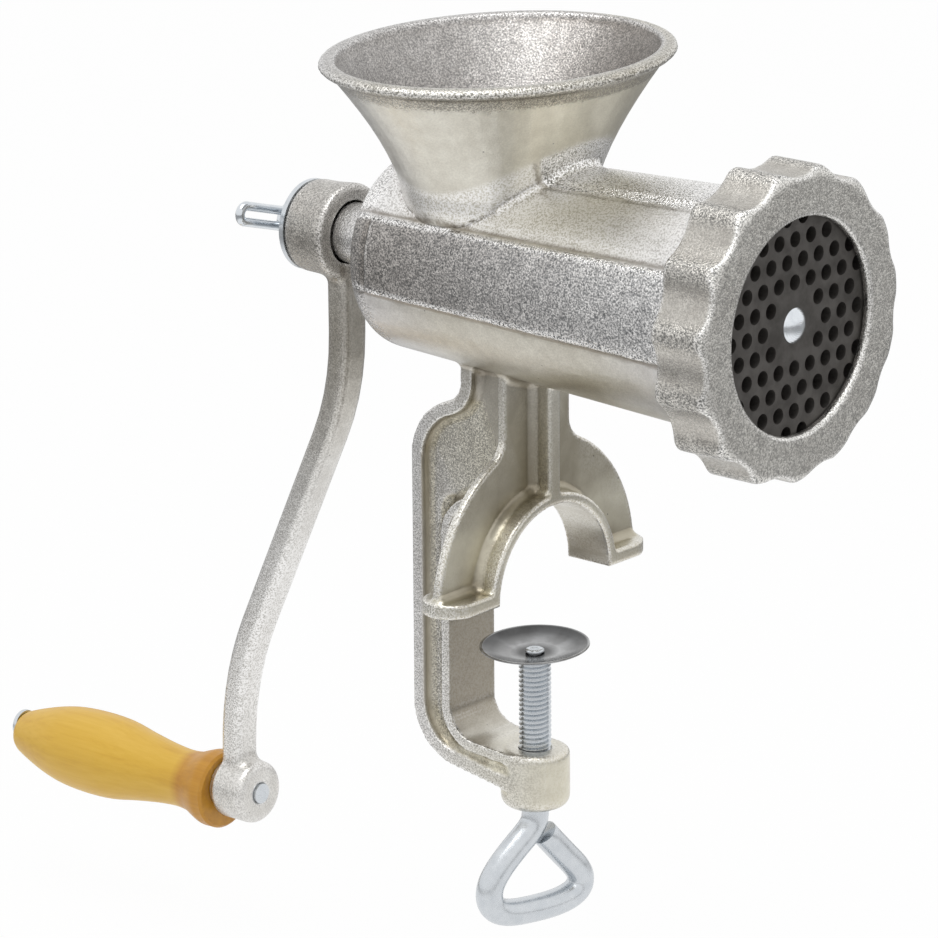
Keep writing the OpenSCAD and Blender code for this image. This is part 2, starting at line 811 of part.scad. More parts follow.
module crank_arm() {
    r0 = hub_d / 2;
    r1 = hub_rear_d / 2;
    rp = pin_hub_d / 2;
    edge = 1.6;
    pin_rear_edge = 1.4;
    pin_front_edge = 2.4;
    recess_depth = 3;
    recess_gap = 0.4;
    color(tin) difference() {
        union() {
            on_axis(hub_rear_x) rotate_extrude() polygon(concat(
                [[0, 0]],
                arc([r1 - edge, edge], edge, -90, 0, 4),
                [[r1 + 0.1, hub_len * 0.45]],
                arc([r0 - edge, hub_len - edge], edge, 0, 90, 4),
                [[0, hub_len]]));
            crank_bar();
            translate([pin_hub_rear_x, 0, pin_z]) rotate([0, 90, 0]) rotate_extrude()
                polygon(concat(
                    [[0, 0]],
                    arc([rp - pin_rear_edge, pin_rear_edge], pin_rear_edge, -90, 0, 4),
                    arc([rp - pin_front_edge, pin_hub_len - pin_front_edge], pin_front_edge,
                        0, 90, 5),
                    [[0, pin_hub_len]]));
        }
        intersection() {
            axial(hub_rear_x - 1, hub_front_x + 1, seat_d / 2 + running_gap,
                  seat_d / 2 + running_gap);
            translate([hub_rear_x - 1, -seat_flats / 2 - running_gap, axis_h - seat_d])
                cube([hub_len + 2, seat_flats + 2 * running_gap, 2 * seat_d]);
        }
        axial(hub_front_x - recess_depth, hub_front_x + 1, journal_r + recess_gap,
              journal_r + recess_gap);
        translate([pin_hub_rear_x - 1, 0, pin_z]) rotate([0, 90, 0])
            cylinder(h = pin_hub_len + 2, r = axle_d / 2 + running_gap);
    }
}

module crank_washer() {
    color(zinc) difference() {
        axial(thumb_head_x + 0.1, hub_rear_x - 0.1, hub_rear_d / 2 - 0.3, hub_rear_d / 2 - 0.3);
        axial(thumb_head_x - 1, hub_rear_x + 1, thumb_d / 2 + loose_gap,
              thumb_d / 2 + loose_gap);
    }
}

// ---------- bent rods ----------

// Round rod bent along points in x and y of its own plane, with every bend of one radius
module bent_rod(points, rod_d, bend_r) {
    n = len(points);
    lap = 0.4;
    swell = 0.03;
    // unit direction, signed turn and tangent length at each point
    dir = [for (i = [0:n - 2]) (points[i + 1] - points[i]) / norm(points[i + 1] - points[i])];
    turn = [for (i = [0:n - 1]) i == 0 || i == n - 1 ? 0
            : atan2(dir[i - 1][0] * dir[i][1] - dir[i - 1][1] * dir[i][0],
                    dir[i - 1] * dir[i])];
    cut = [for (t = turn) t == 0 ? 0 : bend_r * tan(abs(t) / 2) - lap];
    for (i = [0:n - 2]) {
        along = norm(points[i + 1] - points[i]) - cut[i] - cut[i + 1];
        from = points[i] + dir[i] * cut[i];
        translate([from[0], from[1], 0]) rotate([0, 0, atan2(dir[i][1], dir[i][0])])
            rotate([0, 90, 0]) cylinder(h = along, r = rod_d / 2, $fn = 48);
    }
    for (i = [1:n - 2]) {
        side = sign(turn[i]);
        from = points[i] - dir[i - 1] * (cut[i] + lap);
        centre = from + side * bend_r * [-dir[i - 1][1], dir[i - 1][0]];
        start = atan2(dir[i - 1][1], dir[i - 1][0]) - side * 90;
        translate([centre[0], centre[1], 0])
            rotate([0, 0, side > 0 ? start : start - abs(turn[i])])
                rotate_extrude(angle = abs(turn[i])) translate([bend_r, 0])
                    circle(rod_d / 2 + swell, $fn = 48);
    }
}

// Corners of a rounded triangle of rod that hangs from its tip: down one side, along the
// bar and back up to a cut end beside the first leg
function loop_corners(rod_d, w, drop, rise, bend_r) =
    let (
        centre = [w / 2 - rod_d / 2 - bend_r, drop - rod_d / 2 - bend_r],
        lean = atan2(centre[1], centre[0]) - asin(bend_r / norm(centre)),
        bar = drop - rod_d / 2,
        corner = bar / tan(lean),
        end_gap = rod_d + loose_gap,
        high = rise / tan(lean)
    ) [[0, bend_r * 0.6], [0, 0], [high - corner, rise - bar], [corner, -bar],
       [corner, -bar] + ([0, 0] - [corner, -bar]) * (1 - end_gap / (2 * cos(lean)) / corner)];

// ---------- thumb screw ----------

// Long narrow loop of rod in x and y, centred on the origin
module oblong_loop(rod_d, len, w) {
    side = (w - rod_d) / 2;
    half = (len - w) / 2;
    swell = 0.03;
    for (s = [-1, 1]) {
        translate([-half, s * side, 0]) rotate([0, 90, 0])
            cylinder(h = 2 * half, r = rod_d / 2, $fn = 48);
        translate([s * half, 0, 0]) rotate([0, 0, -s * 90])
            rotate_extrude(angle = 180) translate([side, 0])
                circle(rod_d / 2 + swell, $fn = 48);
    }
}

module thumb_screw() {
    head_r = 5.4;
    edge = 0.8;
    color(zinc) {
        axial(thumb_head_x - 1, seat_end_x + thumb_len - 3, thumb_d / 2, thumb_d / 2);
        on_axis(thumb_head_x - thumb_head_len) rotate_extrude() polygon(concat(
            [[0, 0]],
            arc([head_r - edge, edge], edge, -90, 0, 3),
            arc([head_r - edge, thumb_head_len - edge], edge, 0, 90, 3),
            [[0, thumb_head_len]]));
        on_axis(thumb_head_x - thumb_head_len / 2 - 1.6) rotate([0, 0, 90 - thumb_turn])
            oblong_loop(thumb_rod_d, thumb_w, thumb_loop_w);
    }
}

// ---------- grip ----------

// Stations of the grip as share of its length and as diameter, from the collar outwards
function grip_stations() =
    let (swell = belly_d - neck_d) [
        [-0.04, collar_d], [0.02, collar_d], [0.052, collar_d], [0.09, collar_d * 0.91],
        [0.135, neck_d * 1.06], [0.2, neck_d], [0.29, neck_d + swell * 0.14],
        [0.404, neck_d + swell * 0.49], [0.517, neck_d + swell * 0.9], [0.628, belly_d],
        [0.741, belly_d * 0.96], [0.832, belly_d * 0.85], [0.921, belly_d * 0.68],
        [0.985, belly_d * 0.53], [1.02, belly_d * 0.44]];

module wooden_grip() {
    st = grip_stations();
    last = len(st) - 3;
    per = 4;
    edge = 0.8;
    curve = [for (k = [1:last], i = [0:per - 1])
        let (t = i / per)
        [blend4(st[k - 1][1], st[k][1], st[k + 1][1], st[k + 2][1], t) / 2,
         blend4(st[k - 1][0], st[k][0], st[k + 1][0], st[k + 2][0], t) * grip_len]];
    front = curve[0];
    color(wood) difference() {
        translate([grip_x, 0, pin_z - grip_drop]) rotate([0, -90, 0]) rotate_extrude()
            polygon(concat([[0, 0], [front[0] - edge, 0], [front[0], edge]], curve,
                           [[st[last + 1][1] / 2, st[last + 1][0] * grip_len],
                            [st[last + 1][1] / 2 - edge, grip_len], [0, grip_len]]));
        translate([grip_end_x - 1, 0, pin_z]) rotate([0, 90, 0])
            cylinder(h = grip_len + 2, r = axle_d / 2 + running_gap + 0.05);
    }
}

// Washer round the grip axle, from x0 to x1
module axle_washer(x0, x1, d) {
    translate([x0, 0, pin_z]) rotate([0, 90, 0]) difference() {
        cylinder(h = x1 - x0, r = d / 2);
        translate([0, 0, -1]) cylinder(h = x1 - x0 + 2, r = axle_d / 2 + running_gap);
    }
}

module grip_inner_washer() {
    color(zinc) axle_washer(grip_x + grip_play, pin_hub_rear_x - seam, inner_washer_d);
}

module grip_end_washer() {
    color(zinc) axle_washer(end_washer_x - washer_t, end_washer_x, end_washer_d);
}

module grip_axle() {
    head = 0.9;
    head_flare = 0.9;
    color(zinc) translate([0, 0, pin_z]) {
        translate([end_washer_x - washer_t - 0.2, 0, 0]) rotate([0, 90, 0])
            cylinder(h = pin_hub_front_x + 0.5 - end_washer_x + washer_t + 0.2, r = axle_d / 2);
        translate([end_washer_x - washer_t - seam - head, 0, 0]) rotate([0, 90, 0])
            cylinder(h = head, r1 = axle_d / 2, r2 = axle_d / 2 + head_flare);
    }
}

// ---------- clamp ----------

module clamp_screw() {
    below = 2;
    head_t = 1.4;
    head_flare = 1;
    head_z = pad_floor_z + pad_t + loose_gap + 0.1;
    color(zinc) {
        translate([0, 0, boss_low_z - below])
            cylinder(h = pad_floor_z - seam - boss_low_z + below, r = screw_d / 2);
        translate([0, 0, pad_floor_z - 1])
            cylinder(h = head_z - pad_floor_z + 1 + head_t / 2, r = tip_d / 2);
        translate([0, 0, head_z])
            cylinder(h = head_t, r1 = tip_d / 2 + head_flare, r2 = tip_d / 2);
        translate([0, 0, boss_low_z - below / 2]) rotate([0, 0, 90 + loop_turn])
            rotate([90, 0, 0])
                bent_rod(loop_corners(loop_rod_d, loop_w, loop_drop - below / 2, loop_rise,
                                      loop_bend_r), loop_rod_d, loop_bend_r);
    }
}

module clamp_pad() {
    r = pad_d / 2;
    flat_r = 7;
    color(zinc) difference() {
        translate([0, 0, pad_floor_z]) rotate_extrude() polygon([
            [0, 0], [flat_r, 0], [flat_r + 4, 0.7], [r - 2, pad_dish - pad_t + 0.2],
            [r, pad_dish - 0.5], [r - 0.3, pad_dish], [r - 1, pad_dish - 0.1],
            [flat_r + 3.4, pad_t + 0.6], [flat_r - 0.4, pad_t], [0, pad_t]]);
        translate([0, 0, pad_floor_z - 1]) cylinder(h = pad_t + 2, r = tip_d / 2 + running_gap);
    }
}

barrel();
hopper();
stand();
saddle();
plate_key();
thrust_washer();
auger();
knife_stud();
knife();
perforated_plate();
ring_nut();
crank_arm();
crank_washer();
thumb_screw();
grip_axle();
wooden_grip();
grip_inner_washer();
grip_end_washer();
clamp_screw();
clamp_pad();
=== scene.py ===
"""Looks of a hand crank meat grinder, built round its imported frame.

The grey iron castings are fused, softened and tinned, the clamp screw gets its thread,
and every surface gets a procedural finish. Metres, +X out of the outlet, +Z up.
"""

import logging
import math
from collections.abc import Iterable, Iterator
from contextlib import contextmanager
from dataclasses import dataclass
from enum import Enum

import bpy
import numpy as np
from mathutils import Matrix, Vector


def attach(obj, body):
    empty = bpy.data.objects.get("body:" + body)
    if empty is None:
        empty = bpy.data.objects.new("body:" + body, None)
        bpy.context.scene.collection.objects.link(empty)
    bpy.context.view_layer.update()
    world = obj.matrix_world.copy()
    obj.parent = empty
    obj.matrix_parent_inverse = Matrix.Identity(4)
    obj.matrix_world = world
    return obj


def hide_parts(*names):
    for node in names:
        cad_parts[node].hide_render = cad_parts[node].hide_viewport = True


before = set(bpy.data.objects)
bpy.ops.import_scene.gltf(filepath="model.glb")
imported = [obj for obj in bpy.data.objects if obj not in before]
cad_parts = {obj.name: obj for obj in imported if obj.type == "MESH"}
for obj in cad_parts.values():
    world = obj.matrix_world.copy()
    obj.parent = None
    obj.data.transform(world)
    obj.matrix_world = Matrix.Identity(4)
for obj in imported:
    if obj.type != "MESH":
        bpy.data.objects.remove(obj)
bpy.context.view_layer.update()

MM = 0.001
SEAM_WELD = 0.002 * MM
NODE_WELD = 0.005 * MM
WAVE_RATE = 20  # radians that Blender's wave texture runs through per unit at scale 1
LOG = logging.getLogger("grinder")

Piece = bpy.types.Object
Material = bpy.types.Material
Socket = bpy.types.NodeSocket
Colour = tuple[float, float, float]
Points = np.ndarray
Profile = tuple[tuple[float, float], ...]
Shares = dict[str, float]


class Body(Enum):
    """The bodies of the frame that new pieces ride on."""

    HOUSING = "housing"
    CRANK = "crank"
    RING = "ring"
    PAD = "pad"
    CLAMP_SCREW = "clamp_screw"


class Slot(Enum):
    """The record's material slots, passed along with new pieces."""

    CASTING = "casting"
    ZINC = "zinc"


def grey(value: float, warm: float = 0.0) -> Colour:
    """A linear grey from its brightness on screen; warm raises red and lowers blue."""
    linear = value ** 2.2
    return (linear * (1 + warm), linear, linear * (1 - warm))


# ---------- finishes ----------


class NodeSheet:
    """The node tree of one material, with a short call for each node that finishes use."""

    def __init__(self, name: str) -> None:
        """Starts a material with its shader.

        Args:
            name: name of the material.
        """
        self.material = bpy.data.materials.new(name)
        self.material.use_nodes = True
        self.tree = self.material.node_tree
        self.shader = self.tree.nodes["Principled BSDF"]
        self.place = self.node("ShaderNodeTexCoord").outputs["Object"]

    def node(self, kind: str, **settings: object) -> bpy.types.Node:
        """Adds a node and sets its properties.

        Args:
            kind: Blender's type of the node.
            settings: its properties by name.

        Returns:
            The node.
        """
        node = self.tree.nodes.new(kind)
        for name, value in settings.items():
            setattr(node, name, value)
        return node

    def feed(self, socket: Socket, value: Socket | float | Colour) -> None:
        """Links a socket to another node, or sets it to a plain value.

        Args:
            socket: the input that is fed.
            value: an output socket, a number or a colour.
        """
        if isinstance(value, Socket):
            self.tree.links.new(value, socket)
        elif isinstance(value, tuple) and socket.type == "RGBA":
            socket.default_value = (*value, 1.0)
        else:
            socket.default_value = value

    def stretched(self, scale: tuple[float, float, float]) -> Socket:
        """Object coordinates stretched along the axes, for streaks.

        Args:
            scale: stretch along x, y and z.

        Returns:
            The coordinates.
        """
        node = self.node("ShaderNodeMapping")
        self.feed(node.inputs["Vector"], self.place)
        node.inputs["Scale"].default_value = scale
        return node.outputs["Vector"]

    def noise(self, size_mm: float, detail: float = 2.0, rough: float = 0.5,
              place: Socket | None = None) -> Socket:
        """Cloudy noise.

        Args:
            size_mm: size of its patches in millimetres.
            detail: how many finer layers it has.
            rough: how strong the finer layers are.
            place: coordinates, where they aren't the plain ones.

        Returns:
            A value from 0 to 1.
        """
        node = self.node("ShaderNodeTexNoise")
        self.feed(node.inputs["Vector"], place or self.place)
        node.inputs["Scale"].default_value = 1 / (size_mm * MM)
        node.inputs["Detail"].default_value = detail
        node.inputs["Roughness"].default_value = rough
        return node.outputs[0]

    def pits(self, size_mm: float, radius: float) -> Socket:
        """Scattered round pits: 1 in a pit and 0 outside.

        Args:
            size_mm: distance between neighbouring cells in millimetres.
            radius: radius of a pit as a share of its cell.

        Returns:
            A value from 0 to 1.
        """
        node = self.node("ShaderNodeTexVoronoi", feature="F1")
        self.feed(node.inputs["Vector"], self.place)
        node.inputs["Scale"].default_value = 1 / (size_mm * MM)
        return self.spread(node.outputs["Distance"], radius, radius * 0.4, 0.0, 1.0)

    def spread(self, value: Socket, low: float, high: float, to_low: float,
               to_high: float, way: str = "LINEAR") -> Socket:
        """Maps a range of values to another range, clamped.

        Args:
            value: the value that is mapped.
            low: where its range starts.
            high: where its range ends.
            to_low: what the start becomes.
            to_high: what the end becomes.
            way: Blender's name of the way between them.

        Returns:
            The mapped value.
        """
        node = self.node("ShaderNodeMapRange", interpolation_type=way)
        self.feed(node.inputs["Value"], value)
        ends = {"From Min": low, "From Max": high, "To Min": to_low, "To Max": to_high}
        for name, number in ends.items():
            node.inputs[name].default_value = number
        return node.outputs["Result"]

    def reach(self, place: Socket) -> Socket:
        """How far a place is from the middle of its coordinates.

        Args:
            place: the coordinates.

        Returns:
            The distance in metres.
        """
        node = self.node("ShaderNodeVectorMath", operation="LENGTH")
        self.feed(node.inputs[0], place)
        return node.outputs["Value"]

    def maths(self, operation: str, a: Socket | float, b: Socket | float = 0.0) -> Socket:
        """One arithmetic step on two values.

        Args:
            operation: Blender's name of the step.
            a: the first value.
            b: the second value.

        Returns:
            The result.
        """
        node = self.node("ShaderNodeMath", operation=operation)
        self.feed(node.inputs[0], a)
        self.feed(node.inputs[1], b)
        return node.outputs[0]

    def blend(self, a: Socket, b: Socket, share: float) -> Socket:
        """Two values mixed, with a share of the second."""
        return self.maths("ADD", self.maths("MULTIPLY", a, 1 - share),
                          self.maths("MULTIPLY", b, share))

    def ramp(self, value: Socket, *stops: tuple[float, Colour]) -> Socket:
        """A colour that runs through stops as the value rises.

        Args:
            value: the value from 0 to 1.
            stops: pairs of position and linear colour, in rising order.

        Returns:
            The colour.
        """
        node = self.node("ShaderNodeValToRGB")
        self.feed(node.inputs["Fac"], value)
        elements = node.color_ramp.elements
        for _ in range(len(stops) - len(elements)):
            elements.new(1.0)
        for element, (position, colour) in zip(elements, stops):
            element.position = position
            element.color = (*colour, 1.0)
        return node.outputs["Color"]

    def mix(self, share: Socket | float, a: Socket | Colour, b: Socket | Colour,
            blend: str = "MIX") -> Socket:
        """Mixes two colours.

        Args:
            share: how much of the second colour shows.
            a: the first colour.
            b: the second colour.
            blend: Blender's name of the way they mix.

        Returns:
            The mixed colour.
        """
        node = self.node("ShaderNodeMix", data_type="RGBA", blend_type=blend)
        self.feed(node.inputs["Factor"], share)
        first, second = (socket for socket in node.inputs if socket.type == "RGBA")
        self.feed(first, a)
        self.feed(second, b)
        return node.outputs[2]

    def paint(self, name: str) -> Socket:
        """A value painted on the mesh as an attribute, 0 where there is none."""
        node = self.node("ShaderNodeAttribute", attribute_name=name)
        return node.outputs["Fac"]

    def bump(self, height: Socket, depth_mm: float, strength: Socket | float,
             under: Socket | None = None) -> Socket:
        """A bump from a height.

        Args:
            height: height from 0 to 1.
            depth_mm: depth of the relief in millimetres.
            strength: how much of it shows, from 0 to 1.
            under: another bump that this one lies on.

        Returns:
            The bent normal.
        """
        node = self.node("ShaderNodeBump")
        self.feed(node.inputs["Height"], height)
        self.feed(node.inputs["Strength"], strength)
        node.inputs["Distance"].default_value = depth_mm * MM
        if under is not None:
            self.feed(node.inputs["Normal"], under)
        return node.outputs["Normal"]

    def show(self, surface: Socket) -> None:
        """Shows another surface than the plain shader's."""
        self.feed(self.tree.nodes["Material Output"].inputs["Surface"], surface)

    def finish(self, **inputs: Socket | float | Colour) -> Material:
        """Feeds the shader's inputs and hands out the material.

        Args:
            inputs: values by the shader's input names, with _ for each space.

        Returns:
            The finished material.
        """
        for name, value in inputs.items():
            self.feed(self.shader.inputs[name.replace("_", " ")], value)
        return self.material


class Finish:
    """A finish that makes its material once and then hands the same one out."""

    name: str

    def material(self) -> Material:
        """The material, built at the first call."""
        return bpy.data.materials.get(self.name) or self.build(NodeSheet(self.name))

    def build(self, sheet: NodeSheet) -> Material:
        """Builds the material on a new node sheet."""
        raise NotImplementedError


@dataclass(frozen=True)
class TinnedIron(Finish):
    """Cast iron, hot tinned: grainy and sparkling as cast, satin where it was brushed.

    The painted values say where it is grainy, where it is brownish or darkened by painted
    shade, where it is golden, and where it is rubbed bright or lit by painted highlights.
    """

    name: str = "tinned_iron"
    grain: float = 0.0
    satin: float = 0.84
    satin_rough: float = 0.31
    grain_rough: float = 0.2
    speckle_mm: float = 0.56
    relief_mm: float = 0.36
    patch_mm: float = 4.2
    cloud_mm: float = 26.0
    cloud_share: float = 0.45
    pit_gap_mm: float = 7.0
    pit_share: float = 0.05
    gold: Colour = (1.0, 0.965, 0.80)

    def build(self, sheet: NodeSheet) -> Material:
        """Layers satin, grain, brownish staining with painted shade, rubbed edges with painted
        highlights, and pits.

        Args:
            sheet: where it is drawn.

        Returns:
            The material.
        """
        grain = sheet.maths("MAXIMUM", sheet.paint("grain"), self.grain)
        speckle = sheet.noise(self.speckle_mm, 2.0, 0.6)
        patches = sheet.noise(self.patch_mm, 4.0, 0.6)
        clouds = sheet.noise(self.cloud_mm, 2.0)
        tone = sheet.blend(patches, clouds, self.cloud_share)
        satin = sheet.ramp(tone, (0.36, grey(self.satin * 0.95, 0.028)),
                           (0.52, grey(self.satin, 0.018)),
                           (0.66, grey(self.satin * 1.04, 0.01)))
        rough_cast = sheet.ramp(
            speckle, (0.32, grey(0.44, -0.03)), (0.43, grey(0.67, -0.01)),
            (0.53, grey(0.84, 0.01)), (0.62, grey(1.0, 0.01)))
        cast = sheet.mix(sheet.spread(patches, 0.35, 0.65, 0.4, 0.0), rough_cast,
                         grey(0.66), "MULTIPLY")
        colour = sheet.mix(grain, satin, cast)
        golden = sheet.mix(sheet.paint("golden"), colour, self.gold, "MULTIPLY")
        # The painted staining value darkens real brownish stains, and also paints shade in corners,
        # creases, inside the hopper, on sides turned from the light and on the arm's upper part.
        stained_and_shaded = sheet.mix(sheet.paint("stain_and_shade"), golden, grey(0.68, 0.07), "MULTIPLY")
        pits = sheet.maths("MULTIPLY", sheet.pits(self.pit_gap_mm, self.pit_share), 0.8)
        pitted = sheet.mix(pits, stained_and_shaded, grey(0.30, 0.05))
        # Near-white specks where the painted value is high: rubbed edges and lips, and painted
        # highlights on the barrel's top and crown and on the arm's lower part.
        bright = sheet.maths("MULTIPLY", sheet.paint("wear_and_highlight"),
                             sheet.spread(speckle, 0.40, 0.56, 0.0, 1.0))
        wear_and_highlight = sheet.mix(bright, pitted, grey(0.99, 0.01))
        relief = sheet.bump(speckle, self.relief_mm, sheet.spread(grain, 0.0, 1.0, 0.12, 1.0))
        skin = sheet.bump(patches, 0.3, 0.2, relief)
        return sheet.finish(
            Base_Color=wear_and_highlight, Metallic=0.95, Normal=skin,
            Roughness=sheet.spread(grain, 0.0, 1.0, self.satin_rough, self.grain_rough))


@dataclass(frozen=True)
class BrightZinc(Finish):
    """Zinc plate on steel: bluish, smooth and a little streaky."""

    name: str = "bright_zinc"
    bright: float = 0.84
    rough: float = 0.2
    rings_mm: float = 0.0
    axis_z: float = 0.096

    def build(self, sheet: NodeSheet) -> Material:
        """Draws faint clouds, and turned rings where the piece has them.

        Args:
            sheet: where it is drawn.

        Returns:
            The material.
        """
        clouds = sheet.noise(3.0, 3.0, 0.6)
        colour = sheet.ramp(clouds, (0.35, grey(self.bright * 0.95, -0.05)),
                            (0.65, grey(self.bright, -0.04)))
        streaks = sheet.noise(0.5, 2.0, 0.5, sheet.stretched((1.0, 0.25, 0.25)))
        if self.rings_mm:
            streaks = self.turned_rings(sheet)
        return sheet.finish(
            Base_Color=colour, Metallic=0.95,
            Roughness=sheet.spread(clouds, 0.3, 0.7, self.rough, self.rough * 1.6),
            Normal=sheet.bump(streaks, 0.05 if self.rings_mm else 0.02, 0.35))

    def turned_rings(self, sheet: NodeSheet) -> Socket:
        """Fine rings round the auger axis, as a lathe leaves them.

        Args:
            sheet: where it is drawn.

        Returns:
            Their height, from 0 to 1.
        """
        place = sheet.node("ShaderNodeMapping")
        sheet.feed(place.inputs["Vector"], sheet.place)
        place.inputs["Location"].default_value = (0, 0, -self.axis_z)
        wave = sheet.node("ShaderNodeTexWave", wave_type="RINGS", rings_direction="X")
        sheet.feed(wave.inputs["Vector"], place.outputs["Vector"])
        wave.inputs["Scale"].default_value = 2 * math.pi / (WAVE_RATE * self.rings_mm * MM)
        return wave.outputs["Fac"]


@dataclass(frozen=True)
class DishZinc(Finish):
    """Zinc on a pressed dish, with painted shade round the rivet and towards the rim and a painted
    reflection band between, in place of what the hollow reflects.
    """

    name: str = "zinc_dish"
    reach_mm: float = 17.0
    shading_tones: Profile = (
        (2.5, 0.24), (4.4, 0.34), (7.5, 0.68), (10.5, 0.58), (13.0, 0.40), (15.6, 0.34),
        (16.3, 0.74))

    def build(self, sheet: NodeSheet) -> Material:
        """Draws the painted shade and reflection rings by the distance from the dish's axis.

        Args:
            sheet: where it is drawn.

        Returns:
            The material.
        """
        reach = sheet.reach(sheet.stretched((1.0, 1.0, 0.0)))
        share = sheet.spread(reach, 0.0, self.reach_mm * MM, 0.0, 1.0)
        # Painted shade and reflection: darker and lighter rings by the distance from the axis.
        rings = sheet.ramp(share, *((r / self.reach_mm, grey(tone, -0.01))
                                    for r, tone in self.shading_tones))
        clouds = sheet.noise(7.0, 3.0, 0.6)
        colour = sheet.mix(sheet.spread(clouds, 0.4, 0.6, 0.0, 0.6), rings, grey(0.74, 0.02),
                           "MULTIPLY")
        return sheet.finish(Base_Color=colour, Metallic=0.95, Roughness=0.2,
                            Normal=sheet.bump(clouds, 0.05, 0.3))


@dataclass(frozen=True)
class DarkSteel(Finish):
    """Hardened steel with a dark brownish skin and a fine ground grain."""

    name: str = "dark_steel"
    dark: float = 0.30

    def build(self, sheet: NodeSheet) -> Material:
        """Mottles the skin and grinds it finely.

        Args:
            sheet: where it is drawn.

        Returns:
            The material.
        """
        clouds = sheet.noise(6.0, 4.0, 0.6)
        grind = sheet.noise(0.45, 2.0, 0.6)
        colour = sheet.ramp(clouds, (0.35, grey(self.dark * 0.86, 0.09)),
                            (0.65, grey(self.dark * 1.12, 0.07)))
        return sheet.finish(Base_Color=colour, Metallic=0.55, Roughness=0.5,
                            Normal=sheet.bump(grind, 0.03, 0.4))


@dataclass(frozen=True)
class LacqueredWood(Finish):
    """Yellow lacquer on turned wood, deeper in colour round the collar."""

    name: str = "lacquered_wood"
    collar_x: float = -0.1405
    collar_fade: float = 0.004
    fibre_mm: float = 1.4
    band_mm: float = 7.0

    def build(self, sheet: NodeSheet) -> Material:
        """Draws the grain along the grip and the deeper collar.

        Args:
            sheet: where it is drawn.

        Returns:
            The material.
        """
        along = sheet.stretched((0.06, 1.0, 1.0))
        fibres = sheet.noise(self.fibre_mm, 4.0, 0.65, along)
        tone = sheet.blend(fibres, sheet.noise(self.band_mm, 2.0, 0.5, along), 0.5)
        pale = sheet.ramp(tone, (0.32, (0.66, 0.36, 0.028)), (0.50, (0.75, 0.45, 0.042)),
                          (0.68, (0.80, 0.50, 0.065)))
        deep = sheet.ramp(tone, (0.35, (0.50, 0.215, 0.012)), (0.65, (0.64, 0.31, 0.022)))
        colour = sheet.mix(self.on_collar(sheet), pale, deep)
        return sheet.finish(
            Base_Color=colour, Roughness=0.5, Coat_Weight=0.3, Coat_Roughness=0.25,
            Normal=sheet.bump(fibres, 0.05, 0.25))

    def on_collar(self, sheet: NodeSheet) -> Socket:
        """1 on the collar and 0 on the rest, from the place along the grip.

        Args:
            sheet: where it is drawn.

        Returns:
            A value from 0 to 1.
        """
        split = sheet.node("ShaderNodeSeparateXYZ")
        sheet.feed(split.inputs[0], sheet.place)
        return sheet.spread(split.outputs["X"], self.collar_x - self.collar_fade,
                            self.collar_x, 0.0, 1.0)


@dataclass(frozen=True)
class Nylon(Finish):
    """Moulded nylon of the thrust washer."""

    name: str = "moulded_nylon"

    def build(self, sheet: NodeSheet) -> Material:
        """Clouds the plastic faintly.

        Args:
            sheet: where it is drawn.

        Returns:
            The material.
        """
        colour = sheet.ramp(sheet.noise(5.0), (0.3, grey(0.84, 0.05)), (0.7, grey(0.89, 0.04)))
        return sheet.finish(Base_Color=colour, Roughness=0.5,
                            Normal=sheet.bump(sheet.noise(0.6), 0.02, 0.3))


# ---------- bench ----------


def take(obj: Piece) -> None:
    """Selects one piece alone and makes it the active one.

    Args:
        obj: the piece.
    """
    bpy.ops.object.select_all(action="DESELECT")
    obj.select_set(True)
    bpy.context.view_layer.objects.active = obj


@contextmanager
def editing(obj: Piece) -> Iterator[None]:
    """Edit mode with the whole piece selected, for the length of a with block.

    Args:
        obj: the piece.
    """
    take(obj)
    bpy.ops.object.mode_set(mode="EDIT")
    bpy.ops.mesh.select_all(action="SELECT")
    yield
    bpy.ops.object.mode_set(mode="OBJECT")


def copy_node(node: str, name: str) -> Piece:
    """Copies a frame node's mesh into a new piece, with its loose triangles merged.

    Args:
        node: the node that is copied.
        name: name of the new piece.

    Returns:
        The new piece.
    """
    obj = bpy.data.objects.new(name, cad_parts[node].data.copy())
    bpy.context.scene.collection.objects.link(obj)
    obj.data.materials.clear()
    with editing(obj):
        bpy.ops.mesh.remove_doubles(threshold=NODE_WELD)
    return obj


def copied(obj: Piece, name: str) -> Piece:
    """Copies a piece with its own mesh.

    Args:
        obj: the piece.
        name: name of the copy.

    Returns:
        The copy.
    """
    twin = bpy.data.objects.new(name, obj.data.copy())
    bpy.context.scene.collection.objects.link(twin)
    return twin


def halve(obj: Piece, height: float, above: bool) -> None:
    """Keeps the part of a closed piece above or below a height, and closes it again.

    Args:
        obj: the piece.
        height: height of the cut in millimetres.
        above: whether the upper part is kept.
    """
    with editing(obj):
        bpy.ops.mesh.bisect(plane_co=(0, 0, height * MM), plane_no=(0, 0, 1), use_fill=True,
                            clear_outer=not above, clear_inner=above)


def apply(obj: Piece, kind: str, **settings: object) -> None:
    """Adds a modifier with its settings and applies it.

    Args:
        obj: the piece.
        kind: Blender's type of the modifier.
        settings: its properties by name.
    """
    take(obj)
    modifier = obj.modifiers.new(kind.title(), kind)
    for name, value in settings.items():
        setattr(modifier, name, value)
    bpy.ops.object.modifier_apply(modifier=modifier.name)


def grow(obj: Piece, by_mm: float) -> None:
    """Moves the whole skin outwards, or inwards where the distance is negative."""
    apply(obj, "DISPLACE", strength=by_mm * MM, mid_level=0.0)


def skin(obj: Piece, voxel_mm: float) -> None:
    """Makes one closed skin of all that the piece holds."""
    apply(obj, "REMESH", mode="VOXEL", voxel_size=voxel_mm * MM, use_smooth_shade=True)


def relax(obj: Piece, times: int) -> None:
    """Evens the skin out."""
    apply(obj, "SMOOTH", factor=0.5, iterations=times)


